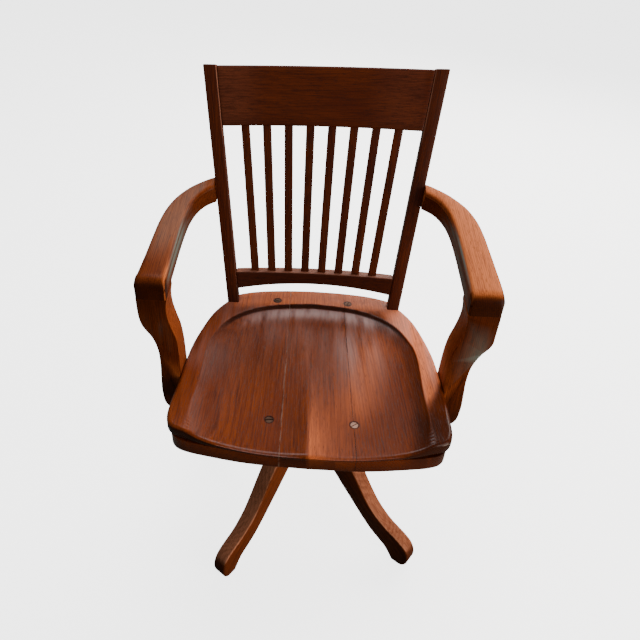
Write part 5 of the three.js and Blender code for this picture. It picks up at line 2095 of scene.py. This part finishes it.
@dataclass
class Ironwork:
    """The iron under the seat, the castings' edges broken as a casting's are."""

    castings: dict[str, Body] = field(default_factory=lambda: {
        "hub_sleeve": Body.BASE, "hub_guide_plate": Body.BASE, "height_nut": Body.NUT,
        "tilt_yoke": Body.UNDERCARRIAGE, "spring_cup": Body.CUP, "tension_knob": Body.KNOB,
        "seat_strap_right": Body.SEAT, "seat_strap_left": Body.SEAT})
    bars: dict[str, Body] = field(default_factory=lambda: {
        "thrust_washer": Body.WASHER, "spindle": Body.UNDERCARRIAGE,
        "spring_seat_washer": Body.UNDERCARRIAGE, "tilt_spring": Body.UNDERCARRIAGE,
        "draw_bolt": Body.DRAW_BOLT, "tilt_rod": Body.SEAT, "spring_cross_rod": Body.SEAT,
        "seat_nut_front_left": Body.SEAT, "seat_nut_front_right": Body.SEAT,
        "seat_nut_rear_left": Body.SEAT, "seat_nut_rear_right": Body.SEAT})
    screws: dict[str, Body] = field(default_factory=lambda: {
        "collar_screw_1": Body.BASE, "collar_screw_2": Body.BASE, "collar_screw_3": Body.BASE,
        "collar_screw_4": Body.BASE, "yoke_pin": Body.UNDERCARRIAGE, "tilt_rod_nut": Body.SEAT})
    threads: dict[str, Thread] = field(default_factory=lambda: {
        "spindle": Thread(0, 150, 330, 4.5, 1.4), "draw_bolt": Thread(-80, 200, 330, 2.2, 0.8)})
    broken_edge: float = 0.6
    squeeze: float = 19.2

    def build(self) -> None:
        """Makes every iron piece."""
        groups = (
            (self.castings, CAST_IRON, Slot.IRON), (self.bars, BAR_STEEL, Slot.BAR),
            (self.screws, SCREW_STEEL, Slot.SCREW))
        for nodes, finish, slot in groups:
            for name, body in nodes.items():
                material = finish.on(name, self.threads.get(name))
                if name == "tilt_spring":
                    self.sprung(name, material, slot, body)
                else:
                    self.softened(name, material, slot, body)

    def softened(self, name: str, material: bpy.types.Material, slot: Slot, body: Body) -> None:
        """Copies an iron piece, and breaks its sharp edges if it is cast.

        Args:
            name: The node's name.
            material: Its finish.
            slot: Its material slot.
            body: The body that it moves with.
        """
        shape = copy_of(name)
        if name in self.castings:
            eased(shape, self.broken_edge * MM, 2, lambda edge: crisp(edge, 60))
        finished(name, shape, material, slot, body)

    def sprung(self, name: str, material: bpy.types.Material, slot: Slot, body: Body) -> None:
        """Copies the coil spring into a mesh of its own and logs how much of its length it keeps at
        full tilt, where it shortens towards its upper end.

        Args:
            name: The node's name.
            material: Its finish.
            slot: Its material slot.
            body: The body that it moves with.
        """
        low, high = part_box(name)
        piece = finished(name, copy_of(name), material, slot, body)
        keep = 1 - self.squeeze * MM / (high.z - low.z)
        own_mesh(piece)
        LOG.info("%s keeps %.2f of its length at full tilt", name, keep)


@dataclass(frozen=True)
class Softbox:
    """A soft studio light.

    Attributes:
        name: The light's name.
        spot: Where it stands, in metres.
        aim: The point that it faces.
        size: Its two sides in metres.
        power: Its power in watts.
        colour: Its colour.
    """

    name: str
    spot: Triple
    aim: Triple
    size: Pair
    power: float
    colour: Colour = (1.0, 1.0, 1.0)

    def build(self) -> None:
        """Sets the light up."""
        lamp = bpy.data.lights.new(self.name, "AREA")
        lamp.shape = "RECTANGLE"
        lamp.size, lamp.size_y = self.size
        lamp.energy = self.power
        lamp.color = self.colour
        stand = shown(self.name, lamp)
        stand.location = self.spot
        ahead = Vector(self.aim) - Vector(self.spot)
        stand.rotation_euler = ahead.to_track_quat("-Z", "Y").to_euler()


@dataclass
class Studio:
    """The pale floor, the soft light and the camera at the photograph's place.

    Attributes:
        floor_bounce: The floor's colour as the chair sees it, a shade of grey-green boards.
        floor_lift: The extra light that makes the floor look pale to the camera.
        room_light: The dim light of the room from all sides.
        backdrop: The pale wall beyond the floor, as the camera sees it.
        sky_colour: The colour of the room's light.
        floor_colour: The floor's colour as the camera sees it.
        floor_drop: How far below the soles the floor lies, in millimetres.
    """

    camera_from_axis: Triple = (-16.363, -914.972, 1281.993)
    camera_turn: Triple = (53.17148, 0.46849, 5.19743)
    focal_pixels: float = 629.08
    centre_pixels: Pair = (256.70, 287.34)
    frame_pixels: float = 640
    floor_size: float = 30.0
    floor_bounce: Colour = (0.13, 0.16, 0.145)
    floor_lift: float = 3.2
    room_light: float = 0.2
    backdrop: float = 4.6
    sky_colour: Colour = (0.94, 1.0, 0.98)
    floor_colour: Colour = (0.9, 0.9, 0.9)
    floor_drop: float = 0.5
    lights: tuple[Softbox, ...] = (
        Softbox("window", (1.3, 2.1, 1.92), (0.05, 0.0, 0.45), (2.8, 1.7), 96, (1.0, 0.96, 0.92)),
        Softbox("overhead", (-0.2, 0.72, 3.0), (0.0, 0.0, 0.4), (1.3, 1.3), 40, (0.95, 0.97, 1.0)),
        Softbox("side_fill", (2.3, -1.5, 1.15), (0.0, 0.0, 0.35), (1.6, 1.6), 34, (1.0, 0.95, 0.9)),
        Softbox(
            "low_fill", (1.7, -0.9, 0.22), (-0.1, -0.15, 0.12), (0.8, 0.4), 15, (1.0, 0.82, 0.62)),
    )

    def build(self) -> None:
        """Sets up the floor, the world, the lights and the camera."""
        self.floor()
        world = bpy.data.worlds.new("studio")
        bpy.context.scene.world = world
        world.use_nodes = True
        sky = world.node_tree.nodes["Background"]
        ray = world.node_tree.nodes.new("ShaderNodeLightPath")
        level = world.node_tree.nodes.new("ShaderNodeMapRange")
        level.inputs["To Min"].default_value = self.room_light
        level.inputs["To Max"].default_value = self.backdrop
        world.node_tree.links.new(ray.outputs["Is Camera Ray"], level.inputs["Value"])
        world.node_tree.links.new(level.outputs[0], sky.inputs["Strength"])
        sky.inputs["Color"].default_value = (*self.sky_colour, 1.0)
        for light in self.lights:
            light.build()
        self.camera()

    def floor(self) -> None:
        """Lays a plain pale floor."""
        shape = bmesh.new()
        bmesh.ops.create_grid(shape, x_segments=2, y_segments=2, size=self.floor_size / 2)
        floor = shown("floor", meshed("floor", shape))
        bench = Bench("pale_floor")
        seen = bench.node("ShaderNodeLightPath").outputs["Is Camera Ray"]
        colour = bench.mixed(seen, self.floor_bounce, self.floor_colour)
        bench.feed(bench.surface.inputs["Base Color"], colour)
        bench.surface.inputs["Roughness"].default_value = 0.9
        bench.surface.inputs["Specular IOR Level"].default_value = 0.0
        bench.surface.inputs["Emission Color"].default_value = (1.0, 1.0, 1.0, 1.0)
        bench.feed(bench.surface.inputs["Emission Strength"], bench.times(seen, self.floor_lift))
        floor.data.materials.append(bench.material)
        floor.location.z = -self.floor_drop * MM
        floor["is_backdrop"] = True

    def camera(self) -> None:
        """Sets the camera up at the photograph's place, for a square frame."""
        lens = bpy.data.cameras.new("camera")
        lens.sensor_width = 36.0
        lens.lens = self.focal_pixels * lens.sensor_width / self.frame_pixels
        half = self.frame_pixels / 2
        lens.shift_x = (half - self.centre_pixels[0]) / self.frame_pixels
        lens.shift_y = (self.centre_pixels[1] - half) / self.frame_pixels
        stand = shown("camera", lens)
        stand.location = place(*self.camera_from_axis)
        stand.rotation_euler = [math.radians(angle) for angle in self.camera_turn]
        bpy.context.scene.camera = stand


def main() -> None:
    """Builds the chair's sub-assemblies in order."""
    logging.basicConfig(level=logging.INFO, format="%(message)s")
    seat = Seat()
    back = Back()
    Studio().build()
    seat.build()
    for bolt in BOLTS:
        bolt.build(seat)
    back.build()
    Arms(back, seat).build()
    Base().build()
    Ironwork().build()
    boxes = [[list(map(float, corner)) for corner in box] for box in (CAD_BOX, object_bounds())]
    for label, corners in zip(("CAD box", "visual box"), boxes):
        LOG.info("%s %s", label, corners)


if __name__ == "__main__":
    main()
